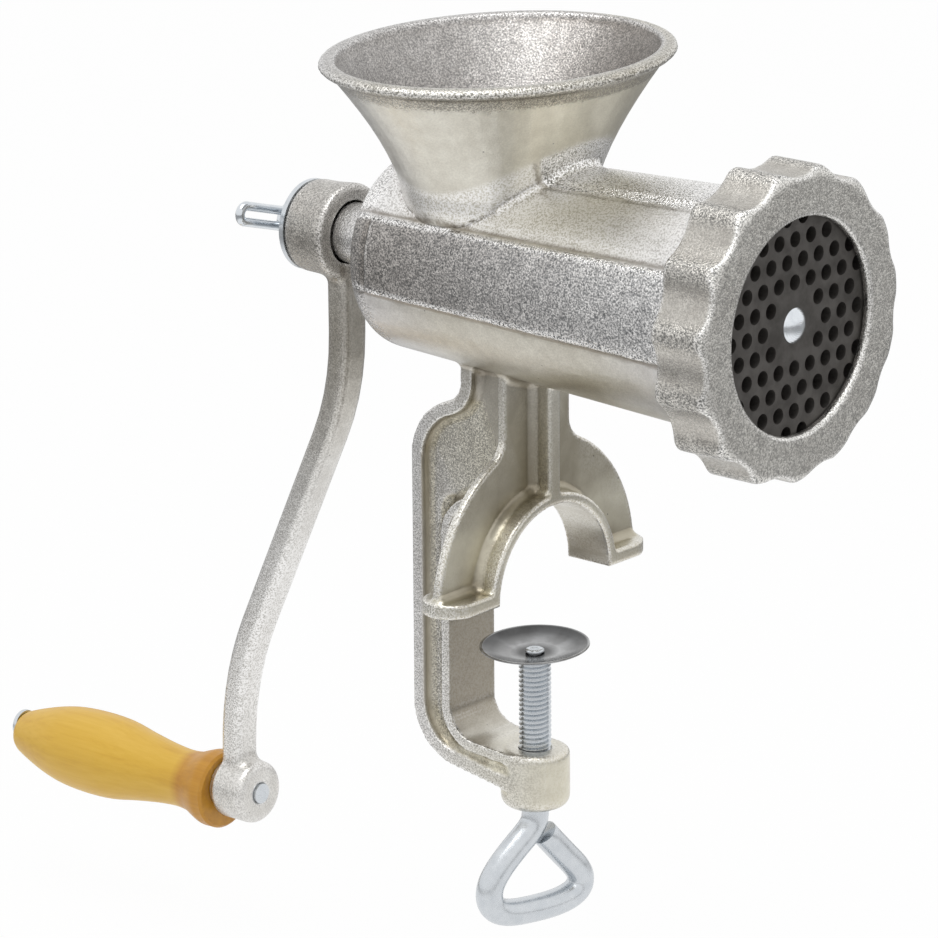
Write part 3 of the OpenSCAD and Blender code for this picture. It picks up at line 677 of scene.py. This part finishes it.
def thin(obj: Piece, most: int) -> None:
    """Takes triangles away where the skin is plain, down to a count.

    Args:
        obj: the piece.
        most: how many triangles it may keep.
    """
    count = sum(len(p.vertices) - 2 for p in obj.data.polygons)
    if count > most:
        apply(obj, "DECIMATE", ratio=most / count)


def turned(name: str, profile: Iterable[tuple[float, float]], base: float,
           steps: int = 128, sharp_angle: float = 50.0) -> Piece:
    """Spins a closed profile round the Z axis.

    Args:
        name: name of the piece.
        profile: radius and height of each point in millimetres, ending where it starts.
        base: height that the profile's heights count from, in millimetres.
        steps: how many segments the full turn has.
        sharp_angle: angle in degrees from which an edge stays sharp.

    Returns:
        The piece.
    """
    obj = traced(name, [(r, base + h) for r, h in profile])
    with editing(obj):
        bpy.ops.mesh.spin(steps=steps, angle=2 * math.pi, center=(0, 0, 0), axis=(0, 0, 1))
        bpy.ops.mesh.select_all(action="SELECT")
        bpy.ops.mesh.remove_doubles(threshold=SEAM_WELD)
        bpy.ops.mesh.normals_make_consistent(inside=False)
    bpy.ops.object.shade_smooth_by_angle(angle=math.radians(sharp_angle))
    return obj


def traced(name: str, points: Iterable[tuple[float, float]]) -> Piece:
    """Extrudes one vertex along points in x and z, given in millimetres.

    Args:
        name: name of the piece.
        points: the points, from the first to the last.

    Returns:
        The piece, a chain of edges.
    """
    points = list(points)
    bpy.ops.object.select_all(action="DESELECT")
    bpy.ops.mesh.primitive_plane_add(size=MM, location=(0, 0, 0))
    obj = bpy.context.object
    obj.name = name
    with editing(obj):
        bpy.ops.mesh.merge(type="CENTER")
        bpy.ops.transform.translate(value=(points[0][0] * MM, 0, points[0][1] * MM))
        for (x0, z0), (x1, z1) in zip(points, points[1:]):
            bpy.ops.mesh.extrude_region_move(
                TRANSFORM_OT_translate={"value": ((x1 - x0) * MM, 0, (z1 - z0) * MM)})
    return obj


def fuse(name: str, parts: Iterable[Piece]) -> Piece:
    """Joins several pieces into one object.

    Args:
        name: name of the joined piece.
        parts: the pieces.

    Returns:
        The joined piece.
    """
    parts = list(parts)
    bpy.ops.object.select_all(action="DESELECT")
    for part in parts:
        part.select_set(True)
    bpy.context.view_layer.objects.active = parts[0]
    if len(parts) > 1:
        bpy.ops.object.join()
    parts[0].name = name
    return parts[0]


def fillet(obj: Piece, radius_mm: float, voxel_mm: float,
           under_mm: float = 0.0) -> None:
    """Fills inner corners with a round fillet, as a casting has.

    Args:
        obj: the piece, already one closed skin.
        radius_mm: radius of the fillets.
        voxel_mm: how fine the new skin is.
        under_mm: how far the new skin ends up under the old one.
    """
    grow(obj, radius_mm)
    skin(obj, voxel_mm)
    relax(obj, 2)
    grow(obj, -radius_mm - under_mm)
    skin(obj, voxel_mm)


def drop_crumbs(obj: Piece) -> None:
    """Keeps only the largest connected skin of a piece.

    Args:
        obj: the piece.
    """
    with editing(obj):
        bpy.ops.mesh.separate(type="LOOSE")
    parts = sorted(bpy.context.selected_objects, key=lambda o: -len(o.data.vertices))
    name = obj.name
    keep = parts[0]
    for part in parts[1:]:
        bpy.data.objects.remove(part)
    keep.name = name


def coordinates(obj: Piece) -> tuple[Points, Points]:
    """Reads where a piece's vertices lie and which way they face.

    Args:
        obj: the piece.

    Returns:
        Their places in millimetres and their unit normals.
    """
    count = len(obj.data.vertices)
    places = np.empty(count * 3, np.float32)
    normals = np.empty(count * 3, np.float32)
    obj.data.vertices.foreach_get("co", places)
    obj.data.vertex_normals.foreach_get("vector", normals)
    return places.reshape(-1, 3) / MM, normals.reshape(-1, 3)


def paint(obj: Piece, name: str, values: Points) -> None:
    """Paints a value from 0 to 1 for each vertex of a piece, under the name finishes read."""
    layer = obj.data.attributes.new(name, "FLOAT", "POINT")
    layer.data.foreach_set("value", np.clip(values, 0, 1).astype(np.float32))


@dataclass(frozen=True)
class Band:
    """A stretch between two bounds, with soft ends."""

    low: float
    high: float
    soft: float

    def of(self, values: Points) -> Points:
        """1 for values between the bounds and 0 outside.

        Args:
            values: what is tested.

        Returns:
            Values from 0 to 1.
        """
        rise = np.clip((values - self.low) / self.soft + 0.5, 0, 1)
        fall = np.clip((self.high - values) / self.soft + 0.5, 0, 1)
        return rise * fall


def coat(obj: Piece, zones: dict[str, Points], coats: dict[str, Shares]) -> None:
    """Paints each coat as the sum of its zones, each zone weighted by its share."""
    for name, shares in coats.items():
        paint(obj, name, sum(share * zones[zone] for zone, share in shares.items()))


def edges_and_corners(obj: Piece, depth: int = 3, edge_bend: float = 0.35,
         corner_bend: float = 0.22) -> tuple[Points, Points]:
    """How far each vertex stands out as an edge, or lies in a corner; the coats use these for
    rubbed edges and darker corners.

    Args:
        obj: the piece.
        depth: how many rounds the measure is spread over the neighbours.
        edge_bend: bend of the skin, in radians per millimetre, that counts as a full edge.
        corner_bend: the same for a corner.

    Returns:
        Two values from 0 to 1 for each vertex, on edges and in corners.
    """
    places, normals = coordinates(obj)
    edges = np.empty(len(obj.data.edges) * 2, np.int32)
    obj.data.edges.foreach_get("vertices", edges)
    a, b = edges.reshape(-1, 2).T
    step = places[b] - places[a]
    length = np.maximum(np.linalg.norm(step, axis=1), 1e-6)
    bend = ((normals[b] - normals[a]) * step).sum(1) / length ** 2
    count = np.bincount(a, minlength=len(places)) + np.bincount(b, minlength=len(places))
    value = (np.bincount(a, bend, len(places)) + np.bincount(b, bend, len(places))) / count
    for _ in range(depth):
        value = 0.5 * value + 0.5 * (np.bincount(a, value[b], len(places))
                                     + np.bincount(b, value[a], len(places))) / count
    return np.clip(value / edge_bend, 0, 1), np.clip(-value / corner_bend, 0, 1)


def seat(obj: Piece, finish: Finish, body: Body, slot: Slot,
         *nodes: str) -> Piece:
    """Dresses a new piece and gives it to the frame.

    Args:
        obj: the piece.
        finish: what it is finished with.
        body: the body that it moves with.
        slot: the record's material slot; not used.
        nodes: the frame nodes that it stands for.

    Returns:
        The piece.
    """
    obj.data.materials.clear()
    obj.data.materials.append(finish.material())
    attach(obj, body.value)
    if nodes:
        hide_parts(*nodes)
    return obj


def dress(node: str, finish: Finish) -> None:
    """Gives a frame node a finish and keeps its mesh.

    Args:
        node: the frame node.
        finish: what it is finished with.
    """
    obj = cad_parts[node]
    obj.data.materials.clear()
    obj.data.materials.append(finish.material())
    LOG.info("%s keeps its mesh, finished in %s", node, finish.name)


def report(obj: Piece) -> None:
    """Reports a finished piece."""
    LOG.info("%s: %d faces, %s", obj.name, len(obj.data.polygons),
             obj.data.materials[0].name)


TINNED = TinnedIron()
ROUGH_TINNED = TinnedIron("tinned_iron_inside", grain=0.45)
ZINC = BrightZinc(bright=0.85, rough=0.21)
CHROME = BrightZinc("bright_chrome", bright=0.88, rough=0.12)
DISH = DishZinc()
TURNED = BrightZinc("turned_zinc", bright=0.92, rough=0.16, rings_mm=0.55)
STEEL = DarkSteel(dark=0.32)
BARE_STEEL = DarkSteel("ground_steel", dark=0.55)


HOUSING_COATS: dict[str, Shares] = {
    "grain": {"barrel": 0.16, "side": 0.84, "inside": 0.7, "outside": 0.10, "web": 0.4,
              "flank": 0.2, "below": 0.16, "edge": 0.12, "front": -0.3, "arch": -0.4,
              "crown": 0.5, "lips": 0.4, "end": 0.4, "rim": 0.6},
    # Painted shade: the hopper's inside, its inner walls facing away from the right, its outer side
    # facing right, the barrel's creases and its shaded side. Darker in corners, under the barrel on
    # the near side and on the hopper's rim. Real brownish staining on the column, saddle, feet and
    # arch.
    "stain_and_shade": {"corner": 0.7, "feet": 0.35, "column": 0.95, "saddle": 0.55, "arch": 0.3,
              "below": 0.05, "inside": 0.58, "inside right": 0.5, "creases": 0.9,
              "shaded side": 0.9, "bottom": 0.35, "boss": -0.6, "rim": 0.45,
              "outside right": 0.35},
    # Rubbed bright on edges and lips; painted highlights on the barrel's top and crown.
    "wear_and_highlight": {"edge": 0.6, "top": 0.8, "crown": 1.0, "lips": 1.0},
    "golden": {"deep": 1.0, "middle": 0.6, "front": 0.4, "outside right": 0.5},
}
TURN_ZONES: dict[str, tuple[Band, ...]] = {
    "side": (Band(150, 193, 3), Band(-13, 30, 3)),
    "bottom": (Band(195, 262, 6),),
    "crown": (Band(40, 112, 2),),
    "top": (Band(115, 146, 3),),
    "lips": (Band(110, 113, 1), Band(149, 152, 1), Band(190, 193, 1)),
    "creases": (Band(114, 115.5, 1), Band(146, 148, 1), Band(193.5, 195.5, 1)),
}
RING_COATS: dict[str, Shares] = {
    "grain": {"all": 0.35, "lobe": 0.6, "face": 0.25},
    # Darker on the lobed sides than on the front face, and darker in corners.
    "stain_and_shade": {"corner": 0.5, "side": 0.4},
    "wear_and_highlight": {"edge": 0.6},
    "golden": {"all": 0.3},
}
ARM_COATS: dict[str, Shares] = {
    "grain": {"all": 0.22, "flank": 0.12, "hub": 0.3},
    # Painted shade darkens the upper part and the hub, together with real brownish staining there;
    # darker in corners.
    "stain_and_shade": {"corner": 0.6, "upper": 0.85, "hub": 0.4},
    # Rubbed bright on edges; a painted highlight on the lower part, which faces up to the light.
    "wear_and_highlight": {"edge": 0.4, "lower": 0.6},
    "golden": {"all": 0.2, "upper": 0.4},
}


# ---------- sub-assemblies ----------


@dataclass
class Housing:
    """Barrel, hopper, stand and saddle, cast in one."""

    axis_z: float = 96.0
    voxel_mm: float = 0.5
    seam_mm: float = 0.08
    fillet_mm: float = 1.8
    most: int = 190000
    crisp_top: float = 119.0
    crisp_low: float = 84.0
    fillet_voxel_mm: float = 0.62
    under_mm: float = 0.16
    hopper_x: float = -12.8
    slope: float = 3.0
    shell: Band = Band(26, 42, 2)
    length: Band = Band(-60, 97, 2)
    hopper_rise: Band = Band(118, 170, 2)
    off_barrel: Band = Band(43, 200, 1.5)
    stand_rise: Band = Band(-90, 66, 1)
    column_x: Band = Band(-26.5, -8, 1)
    column_rise: Band = Band(-60, 24, 4)
    saddle_rise: Band = Band(24, 60, 4)
    foot_rise: Band = Band(-80, 12, 6)
    arch_r: Band = Band(24, 26.2, 0.4)
    arch_rise: Band = Band(0, 27, 1)
    web_y: Band = Band(6, 8.2, 0.5)
    web_x: Band = Band(-40, -8, 1)
    end_x: Band = Band(-60, -41, 1)
    rim_rise: Band = Band(153.5, 170, 1)
    boss_r: Band = Band(0, 14, 2)
    boss_rise: Band = Band(-75, -48, 1)
    middle_x: Band = Band(-25, 60, 30)
    shade_front: float = 70.0
    shade_length: float = 110.0
    right_side: tuple[float, float] = (0.757, 0.653)
    nodes: tuple[str, ...] = ("barrel", "hopper", "stand", "saddle")

    def build(self) -> Piece:
        """Fuses the four solids into one softened casting.

        Returns:
            The casting.
        """
        parts = []
        for node in self.nodes:
            part = copy_node(node, "casting_" + node)
            grow(part, self.seam_mm)
            parts.append(part)
        casting = fuse("casting", parts)
        skin(casting, self.voxel_mm)
        upper, lower = (copied(casting, name) for name in ("upper", "lower"))
        for part, height in ((upper, self.crisp_top), (lower, self.crisp_low)):
            fillet(part, self.fillet_mm, self.fillet_voxel_mm, self.under_mm)
            halve(part, height, above=part is upper)
        casting = fuse("casting", [casting, upper, lower])
        skin(casting, self.voxel_mm)
        relax(casting, 1)
        drop_crumbs(casting)
        casting = bpy.data.objects["casting"]
        thin(casting, self.most)
        self.dress(casting)
        seat(casting, TINNED, Body.HOUSING, Slot.CASTING, *self.nodes)
        dress("plate_key", BARE_STEEL)
        dress("thrust_washer", Nylon())
        return casting

    def dress(self, casting: Piece) -> None:
        """Paints where the casting is grainy, brownish, golden or rubbed bright, and where painted
        shade darkens it or painted highlights brighten it.

        Args:
            casting: the casting.
        """
        places, normals = coordinates(casting)
        x, y, z = places.T
        edge, corner = edges_and_corners(casting)
        zones = self.barrel_zones(x, y, z) | {"edge": edge, "corner": corner}
        hopper = zones["hopper"]
        outward = ((normals[:, 0] * (x - self.hopper_x) + normals[:, 1] * y)
                   / np.maximum(np.hypot(x - self.hopper_x, y), 1))
        inside = hopper * np.clip(-outward * self.slope, 0, 1)
        facing = normals[:, :2] @ np.array(self.right_side)
        panel, on_barrel = zones["panel"], zones["on_barrel"]
        for name in ("bottom", "crown", "top", "lips", "creases", "shaded side"):
            zones[name] = zones[name] * (1 - inside)
        # Painted shade: the hopper's inside, its inner walls facing away from the right, and its
        # outer side facing right.
        zones |= {
            "inside": inside, "inside right": inside * np.clip(-facing, 0, 1),
            "outside": hopper * (1 - inside),
            "outside right": hopper * (1 - inside) * np.clip(facing, 0, 1),
            "rim": self.rim_rise.of(z) * (1 - inside),
            "middle": self.middle_x.of(x) * (1 - inside) * (1 - panel)}
        below = self.stand_rise.of(z) * (1 - on_barrel)
        front = np.clip(normals[:, 0], 0, 1) * below
        flank = np.abs(normals[:, 1]) * below
        column_x = self.column_x.of(x)
        zones |= {
            "below": below, "front": front, "flank": flank, "deep": corner * below,
            "column": front * column_x * self.column_rise.of(z),
            "saddle": front * self.saddle_rise.of(z),
            "feet": front * self.foot_rise.of(z) * (1 - column_x),
            "arch": below * self.arch_r.of(np.hypot(y, z)) * self.arch_rise.of(z),
            "web": flank * self.web_y.of(np.abs(y)) * self.web_x.of(x),
            "boss": self.boss_r.of(np.hypot(x, y)) * self.boss_rise.of(z)}
        coat(casting, zones, HOUSING_COATS)

    def barrel_zones(self, x: Points, y: Points, z: Points) -> dict[str, Points]:
        """The zones that are told by the place round the barrel's axis.

        Args:
            x: place along the barrel, in millimetres.
            y: place across it.
            z: height.

        Returns:
            How much each vertex belongs to each zone, by the zone's name.
        """
        up = z - self.axis_z
        turn = np.degrees(np.arctan2(up, y))
        turn = np.where(turn < -90, turn + 360, turn)
        radius = np.hypot(y, up)
        on_barrel = self.shell.of(radius) * self.length.of(x)
        turns = {name: sum(band.of(turn) for band in bands)
                 for name, bands in TURN_ZONES.items()}
        hopper = self.hopper_rise.of(z) * self.off_barrel.of(radius)
        barrel = on_barrel * (1 - hopper)
        shade = np.clip((self.shade_front - x) / self.shade_length, 0, 1)
        return {name: barrel * zone for name, zone in turns.items()} | {
            "on_barrel": on_barrel, "panel": turns["side"], "hopper": hopper,
            "barrel": barrel, "shaded side": barrel * turns["side"] * shade,
            "end": on_barrel * self.end_x.of(x)}


@dataclass
class Outlet:
    """Ring nut, perforated plate, knife and the stud that carries them."""

    axis_z: float = 96.0
    face_x: Band = Band(98.5, 102, 1)
    lobe_rise: float = 1.5
    voxel_mm: float = 0.42
    fillet_mm: float = 0.8
    root_r: float = 44.5
    most: int = 110000

    def build(self) -> Piece:
        """Softens the ring and finishes what it holds.

        Returns:
            The ring nut.
        """
        ring = copy_node("ring_nut", "ring")
        skin(ring, self.voxel_mm)
        fillet(ring, self.fillet_mm, self.voxel_mm)
        relax(ring, 3)
        thin(ring, self.most)
        self.dress(ring)
        seat(ring, TINNED, Body.RING, Slot.CASTING, "ring_nut")
        dress("perforated_plate", STEEL)
        dress("knife", BARE_STEEL)
        dress("knife_stud", TURNED)
        return ring

    def dress(self, ring: Piece) -> None:
        """Paints grain on lobes and front face, leaves the hollows satin, and makes the sides and
        corners darker.

        Args:
            ring: the ring nut.
        """
        places, _ = coordinates(ring)
        x, y, z = places.T
        edge, corner = edges_and_corners(ring)
        radius = np.hypot(y, z - self.axis_z)
        face = self.face_x.of(x)
        zones = {"all": np.ones(len(x)), "edge": edge, "corner": corner, "face": face,
                 "side": 1 - face,
                 "lobe": np.clip((radius - self.root_r) / self.lobe_rise, 0, 1)}
        coat(ring, zones, RING_COATS)


@dataclass
class Crank:
    """Auger, crank arm, its retainer and the thumb screw."""

    voxel_mm: float = 0.42
    fillet_mm: float = 2.0
    most: int = 90000
    upper_rise: Band = Band(45, 82, 50)
    hub_rise: Band = Band(82, 120, 4)
    lower_rise: Band = Band(-80, 0, 30)

    def build(self) -> Piece:
        """Gives the arm its fillets and finishes the turning pieces.

        Returns:
            The crank arm.
        """
        arm = copy_node("crank_arm", "arm")
        skin(arm, self.voxel_mm)
        fillet(arm, self.fillet_mm, self.voxel_mm)
        relax(arm, 4)
        thin(arm, self.most)
        self.dress(arm)
        seat(arm, TINNED, Body.CRANK, Slot.CASTING, "crank_arm")
        dress("auger", ROUGH_TINNED)
        dress("crank_washer", ZINC)
        dress("thumb_screw", CHROME)
        return arm

    def dress(self, arm: Piece) -> None:
        """Paints a mild grain, stronger on the arm's flanks, painted shade with brownish staining
        on the upper part and hub, and a painted highlight on the lower part.

        Args:
            arm: the crank arm.
        """
        places, normals = coordinates(arm)
        z = places[:, 2]
        edge, corner = edges_and_corners(arm)
        zones = {"all": np.ones(len(z)), "edge": edge, "corner": corner,
                 "flank": np.abs(normals[:, 1]), "upper": self.upper_rise.of(z),
                 "hub": self.hub_rise.of(z), "lower": self.lower_rise.of(z)}
        coat(arm, zones, ARM_COATS)


@dataclass
class Handle:
    """The wooden grip on its axle."""

    def build(self) -> None:
        """Finishes the grip, its axle and its washers."""
        dress("wooden_grip", LacqueredWood())
        for node in ("grip_axle", "grip_inner_washer", "grip_end_washer"):
            dress(node, ZINC)


@dataclass
class Clamp:
    """Threaded clamp screw with its bent loop, and the dished pad on its tip."""

    pitch: float = 1.5
    major_r: float = 4.9
    minor_r: float = 4.05
    steps: int = 40
    shank_top: float = -23.3
    cut_z: float = -71.2
    loop_r: float = 4.15
    loop_turn: float = 76.0
    loop_steps: int = 6
    rod_steps: int = 10
    rivet_steps: int = 48
    end_round_mm: float = 0.7
    sharp_angle: float = 60.0
    thread_sharp_angle: float = 40.0
    crest_share: float = 0.15
    loop_path: Profile = (
        (0.0, -70.6), (0.0, -74.9), (-0.9, -77.4), (-4.6, -80.5), (-8.5, -83.7),
        (-12.3, -87.1), (-15.6, -90.8), (-17.5, -94.5), (-17.3, -99.1), (-14.2, -102.3),
        (-9.5, -103.7), (-4.7, -104.1), (4.7, -104.4), (12.0, -103.5), (16.3, -101.4),
        (17.3, -97.8), (15.4, -94.1), (11.6, -90.1), (7.4, -85.4), (3.1, -80.5))
    rivet_profile: Profile = (
        (0.0, -1.0), (2.3, -1.0), (2.3, 1.2), (2.9, 1.25), (2.9, 1.7), (2.4, 2.15), (1.6, 2.2),
        (1.1, 1.9), (0.5, 1.7), (0.0, 1.65))
    pad_floor: float = -23.2
    pad_tilt: float = 3.0
    tilt_rise: float = 1.0
    pad_profile: Profile = (
        (2.4, 0.0), (4.6, 0.0), (7.2, 0.3), (10.5, 1.05), (14.4, 2.15), (16.2, 2.85),
        (16.65, 3.15), (16.6, 3.45), (16.2, 3.58), (15.5, 3.3), (12.0, 2.1), (9.0, 1.35),
        (7.0, 1.0), (5.2, 0.85), (2.4, 0.85), (2.4, 0.0))

    def build(self) -> Piece:
        """Builds the screw from its thread, its loop and its riveted tip.

        Returns:
            The clamp screw.
        """
        rivet = turned("rivet", self.rivet_profile, self.pad_floor, self.rivet_steps)
        screw = fuse("clamp_thread", [self.thread(), self.loop(), rivet])
        seat(screw, ZINC, Body.CLAMP_SCREW, Slot.ZINC, "clamp_screw")
        report(self.pad())
        return screw

    def loop(self) -> Piece:
        """The rod bent into a three-cornered loop, its free end beside the shank.

        Returns:
            The loop.
        """
        loop = traced("clamp_loop", self.loop_path)
        bpy.ops.object.convert(target="CURVE")
        spline = loop.data.splines[0]
        spline.type = "NURBS"
        spline.order_u = 4
        spline.use_endpoint_u = True
        spline.resolution_u = self.loop_steps
        loop.data.bevel_depth = self.loop_r * MM
        loop.data.bevel_resolution = self.rod_steps
        loop.data.use_fill_caps = True
        bpy.ops.object.convert(target="MESH")
        with editing(loop):
            bpy.ops.mesh.remove_doubles(threshold=SEAM_WELD)
            bpy.ops.mesh.normals_make_consistent(inside=False)
            bpy.ops.transform.rotate(value=math.radians(-self.loop_turn), orient_axis="Z",
                                     center_override=(0, 0, 0))
        sharp = math.radians(self.sharp_angle)
        apply(loop, "BEVEL", width=self.end_round_mm * MM, segments=3, limit_method="ANGLE",
              angle_limit=sharp)
        bpy.ops.object.shade_smooth_by_angle(angle=sharp)
        return loop

    def pad(self) -> Piece:
        """The pressed dish, spun from its profile and a little tilted on its tip.

        Returns:
            The pad.
        """
        pad = turned("pad_dish", self.pad_profile, self.pad_floor)
        with editing(pad):
            bpy.ops.transform.rotate(value=math.radians(-self.pad_tilt), orient_axis="X",
                                     center_override=(0, 0, (self.pad_floor + self.tilt_rise) * MM))
        return seat(pad, DISH, Body.PAD, Slot.ZINC, "clamp_pad")

    def thread(self) -> Piece:
        """The rolled thread: one turn of its profile, wound up the shank and capped.

        Returns:
            The shank.
        """
        half = self.pitch / 2
        crest = self.crest_share * self.pitch
        profile = [(self.minor_r, -half), (self.minor_r, -half + crest),
                   (self.major_r, -crest / 2), (self.major_r, crest / 2),
                   (self.minor_r, half - crest), (self.minor_r, half)]
        turns = math.ceil((self.shank_top - self.cut_z) / self.pitch) + 2
        base = self.cut_z - self.pitch
        thread = traced("thread", [(r, base + h) for r, h in profile])
        apply(thread, "SCREW", axis="Z", angle=2 * math.pi, screw_offset=self.pitch * MM,
              iterations=turns, steps=self.steps, render_steps=self.steps,
              use_merge_vertices=True, merge_threshold=0.001 * MM)
        with editing(thread):
            bpy.ops.mesh.remove_doubles(threshold=SEAM_WELD)
        halve(thread, self.shank_top, above=False)
        halve(thread, self.cut_z, above=True)
        with editing(thread):
            bpy.ops.mesh.normals_make_consistent(inside=False)
        bpy.ops.object.shade_smooth_by_angle(angle=math.radians(self.thread_sharp_angle))
        return thread


# ---------- studio ----------


@dataclass
class Studio:
    """Pale floor, soft lamp and the camera."""

    floor_z: float = -142.0
    azimuth: float = 49.2316
    elevation: float = 16.692
    roll: float = -0.4214
    aside: tuple[float, float, float] = (92.5207, 40.7973, -1705.2744)
    aim: tuple[float, float, float] = (97.0, 0.0, 96.0)
    lens: float = 230.3
    view_reach: float = 50.0
    world_level: float = 0.62
    flag_z: float = -141.0
    flag_inner: float = 0.26
    flag_faded: float = 0.52
    flag_outer: float = 2.6
    flag_level: float = 0.64
    floor_size: float = 40.0
    floor_tone: Colour = (0.86, 0.86, 0.86)
    floor_glow: float = 0.97
    lamp_place: tuple[float, float, float] = (0.1, -0.3, 1.6)
    lamp_size: float = 1.1
    lamp_power: float = 11.0
    lamp_aim: tuple[float, float, float] = (0.0, 0.0, 0.05)

    def build(self) -> None:
        """Sets up everything round the object."""
        scene = bpy.context.scene
        scene.view_settings.view_transform = "Standard"
        self.camera()
        self.world()
        self.floor()
        self.flag()
        self.lamp()

    def camera(self) -> None:
        """Places the camera from its angles and its offset from the outlet's middle."""
        az, el, roll = (math.radians(v) for v in (self.azimuth, self.elevation, self.roll))
        back = Vector((math.cos(az) * math.cos(el), -math.sin(az) * math.cos(el), math.sin(el)))
        right = Vector((0, 0, 1)).cross(back).normalized()
        up = back.cross(right)
        axes = Matrix((right * math.cos(roll) + up * math.sin(roll),
                       up * math.cos(roll) - right * math.sin(roll), back)).transposed()
        place = (Vector(self.aim) - axes @ Vector(self.aside)) * MM
        data = bpy.data.cameras.new("camera")
        data.lens = self.lens
        data.clip_end = self.view_reach
        camera = bpy.data.objects.new("camera", data)
        camera.matrix_world = Matrix.Translation(place) @ axes.to_4x4()
        bpy.context.scene.collection.objects.link(camera)
        bpy.context.scene.camera = camera

    def seen(self, tree: bpy.types.NodeTree) -> Socket:
        """1 for rays that show the background: straight, in gloss or through glass.

        Args:
            tree: the node tree that it is for.

        Returns:
            A value from 0 to 1.
        """
        path = tree.nodes.new("ShaderNodeLightPath")
        total = path.outputs["Is Camera Ray"]
        for name in ("Is Glossy Ray", "Is Transmission Ray"):
            node = tree.nodes.new("ShaderNodeMath")
            node.operation = "MAXIMUM"
            tree.links.new(total, node.inputs[0])
            tree.links.new(path.outputs[name], node.inputs[1])
            total = node.outputs[0]
        return total

    def world(self) -> None:
        """White to look at, and a plain even light on the object."""
        world = bpy.data.worlds.new("studio")
        bpy.context.scene.world = world
        world.use_nodes = True
        tree = world.node_tree
        background = tree.nodes["Background"]
        level = tree.nodes.new("ShaderNodeMapRange")
        tree.links.new(self.seen(tree), level.inputs["Value"])
        level.inputs["To Min"].default_value = self.world_level
        tree.links.new(level.outputs["Result"], background.inputs["Strength"])
        background.inputs["Color"].default_value = (1, 1, 1, 1)

    def floor(self) -> None:
        """A wide pale floor that keeps the object's shadow."""
        bpy.ops.object.select_all(action="DESELECT")
        bpy.ops.mesh.primitive_plane_add(size=self.floor_size, location=(0, 0, self.floor_z * MM))
        floor = bpy.context.object
        floor.name = "floor"
        sheet = NodeSheet("floor")
        mix = sheet.node("ShaderNodeMixShader")
        sheet.feed(mix.inputs[0], sheet.maths("MULTIPLY", self.seen(sheet.tree), self.floor_glow))
        sheet.feed(mix.inputs[1], sheet.shader.outputs[0])
        sheet.feed(mix.inputs[2], sheet.node("ShaderNodeEmission").outputs[0])
        sheet.show(mix.outputs[0])
        floor.data.materials.append(sheet.finish(Base_Color=self.floor_tone, Roughness=0.9))

    def flag(self) -> None:
        """A dark ring on the floor that only shows in gloss, for contrast in the metal."""
        bpy.ops.object.select_all(action="DESELECT")
        bpy.ops.mesh.primitive_circle_add(vertices=64, radius=self.flag_outer, fill_type="NGON",
                                          location=(0, 0, self.flag_z * MM))
        flag = bpy.context.object
        flag.name = "flag"
        with editing(flag):
            bpy.ops.mesh.inset(thickness=self.flag_outer - self.flag_inner)
            bpy.ops.mesh.delete(type="FACE")
        sheet = NodeSheet("flag")
        glow = sheet.node("ShaderNodeEmission")
        fade = sheet.spread(sheet.reach(sheet.place), self.flag_inner, self.flag_faded, 1.0,
                            grey(self.flag_level)[0], "SMOOTHSTEP")
        sheet.feed(glow.inputs["Strength"], fade)
        sheet.show(glow.outputs[0])
        flag.data.materials.append(sheet.material)
        for ray in ("camera", "diffuse", "transmission", "volume_scatter", "shadow"):
            setattr(flag, "visible_" + ray, False)

    def lamp(self) -> None:
        """A square soft lamp above, turned to the object."""
        data = bpy.data.lights.new("top", "AREA")
        data.size = self.lamp_size
        data.energy = self.lamp_power
        lamp = bpy.data.objects.new("top", data)
        lamp.location = self.lamp_place
        aim = Vector(self.lamp_aim) - Vector(self.lamp_place)
        lamp.rotation_euler = aim.to_track_quat("-Z", "Y").to_euler()
        bpy.context.scene.collection.objects.link(lamp)


def main() -> None:
    """Builds the studio and the object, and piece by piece."""
    logging.basicConfig(level=logging.INFO, format="%(name)s: %(message)s")
    Studio().build()
    report(Housing().build())
    report(Outlet().build())
    report(Crank().build())
    Handle().build()
    report(Clamp().build())


if __name__ == "__main__":
    main()
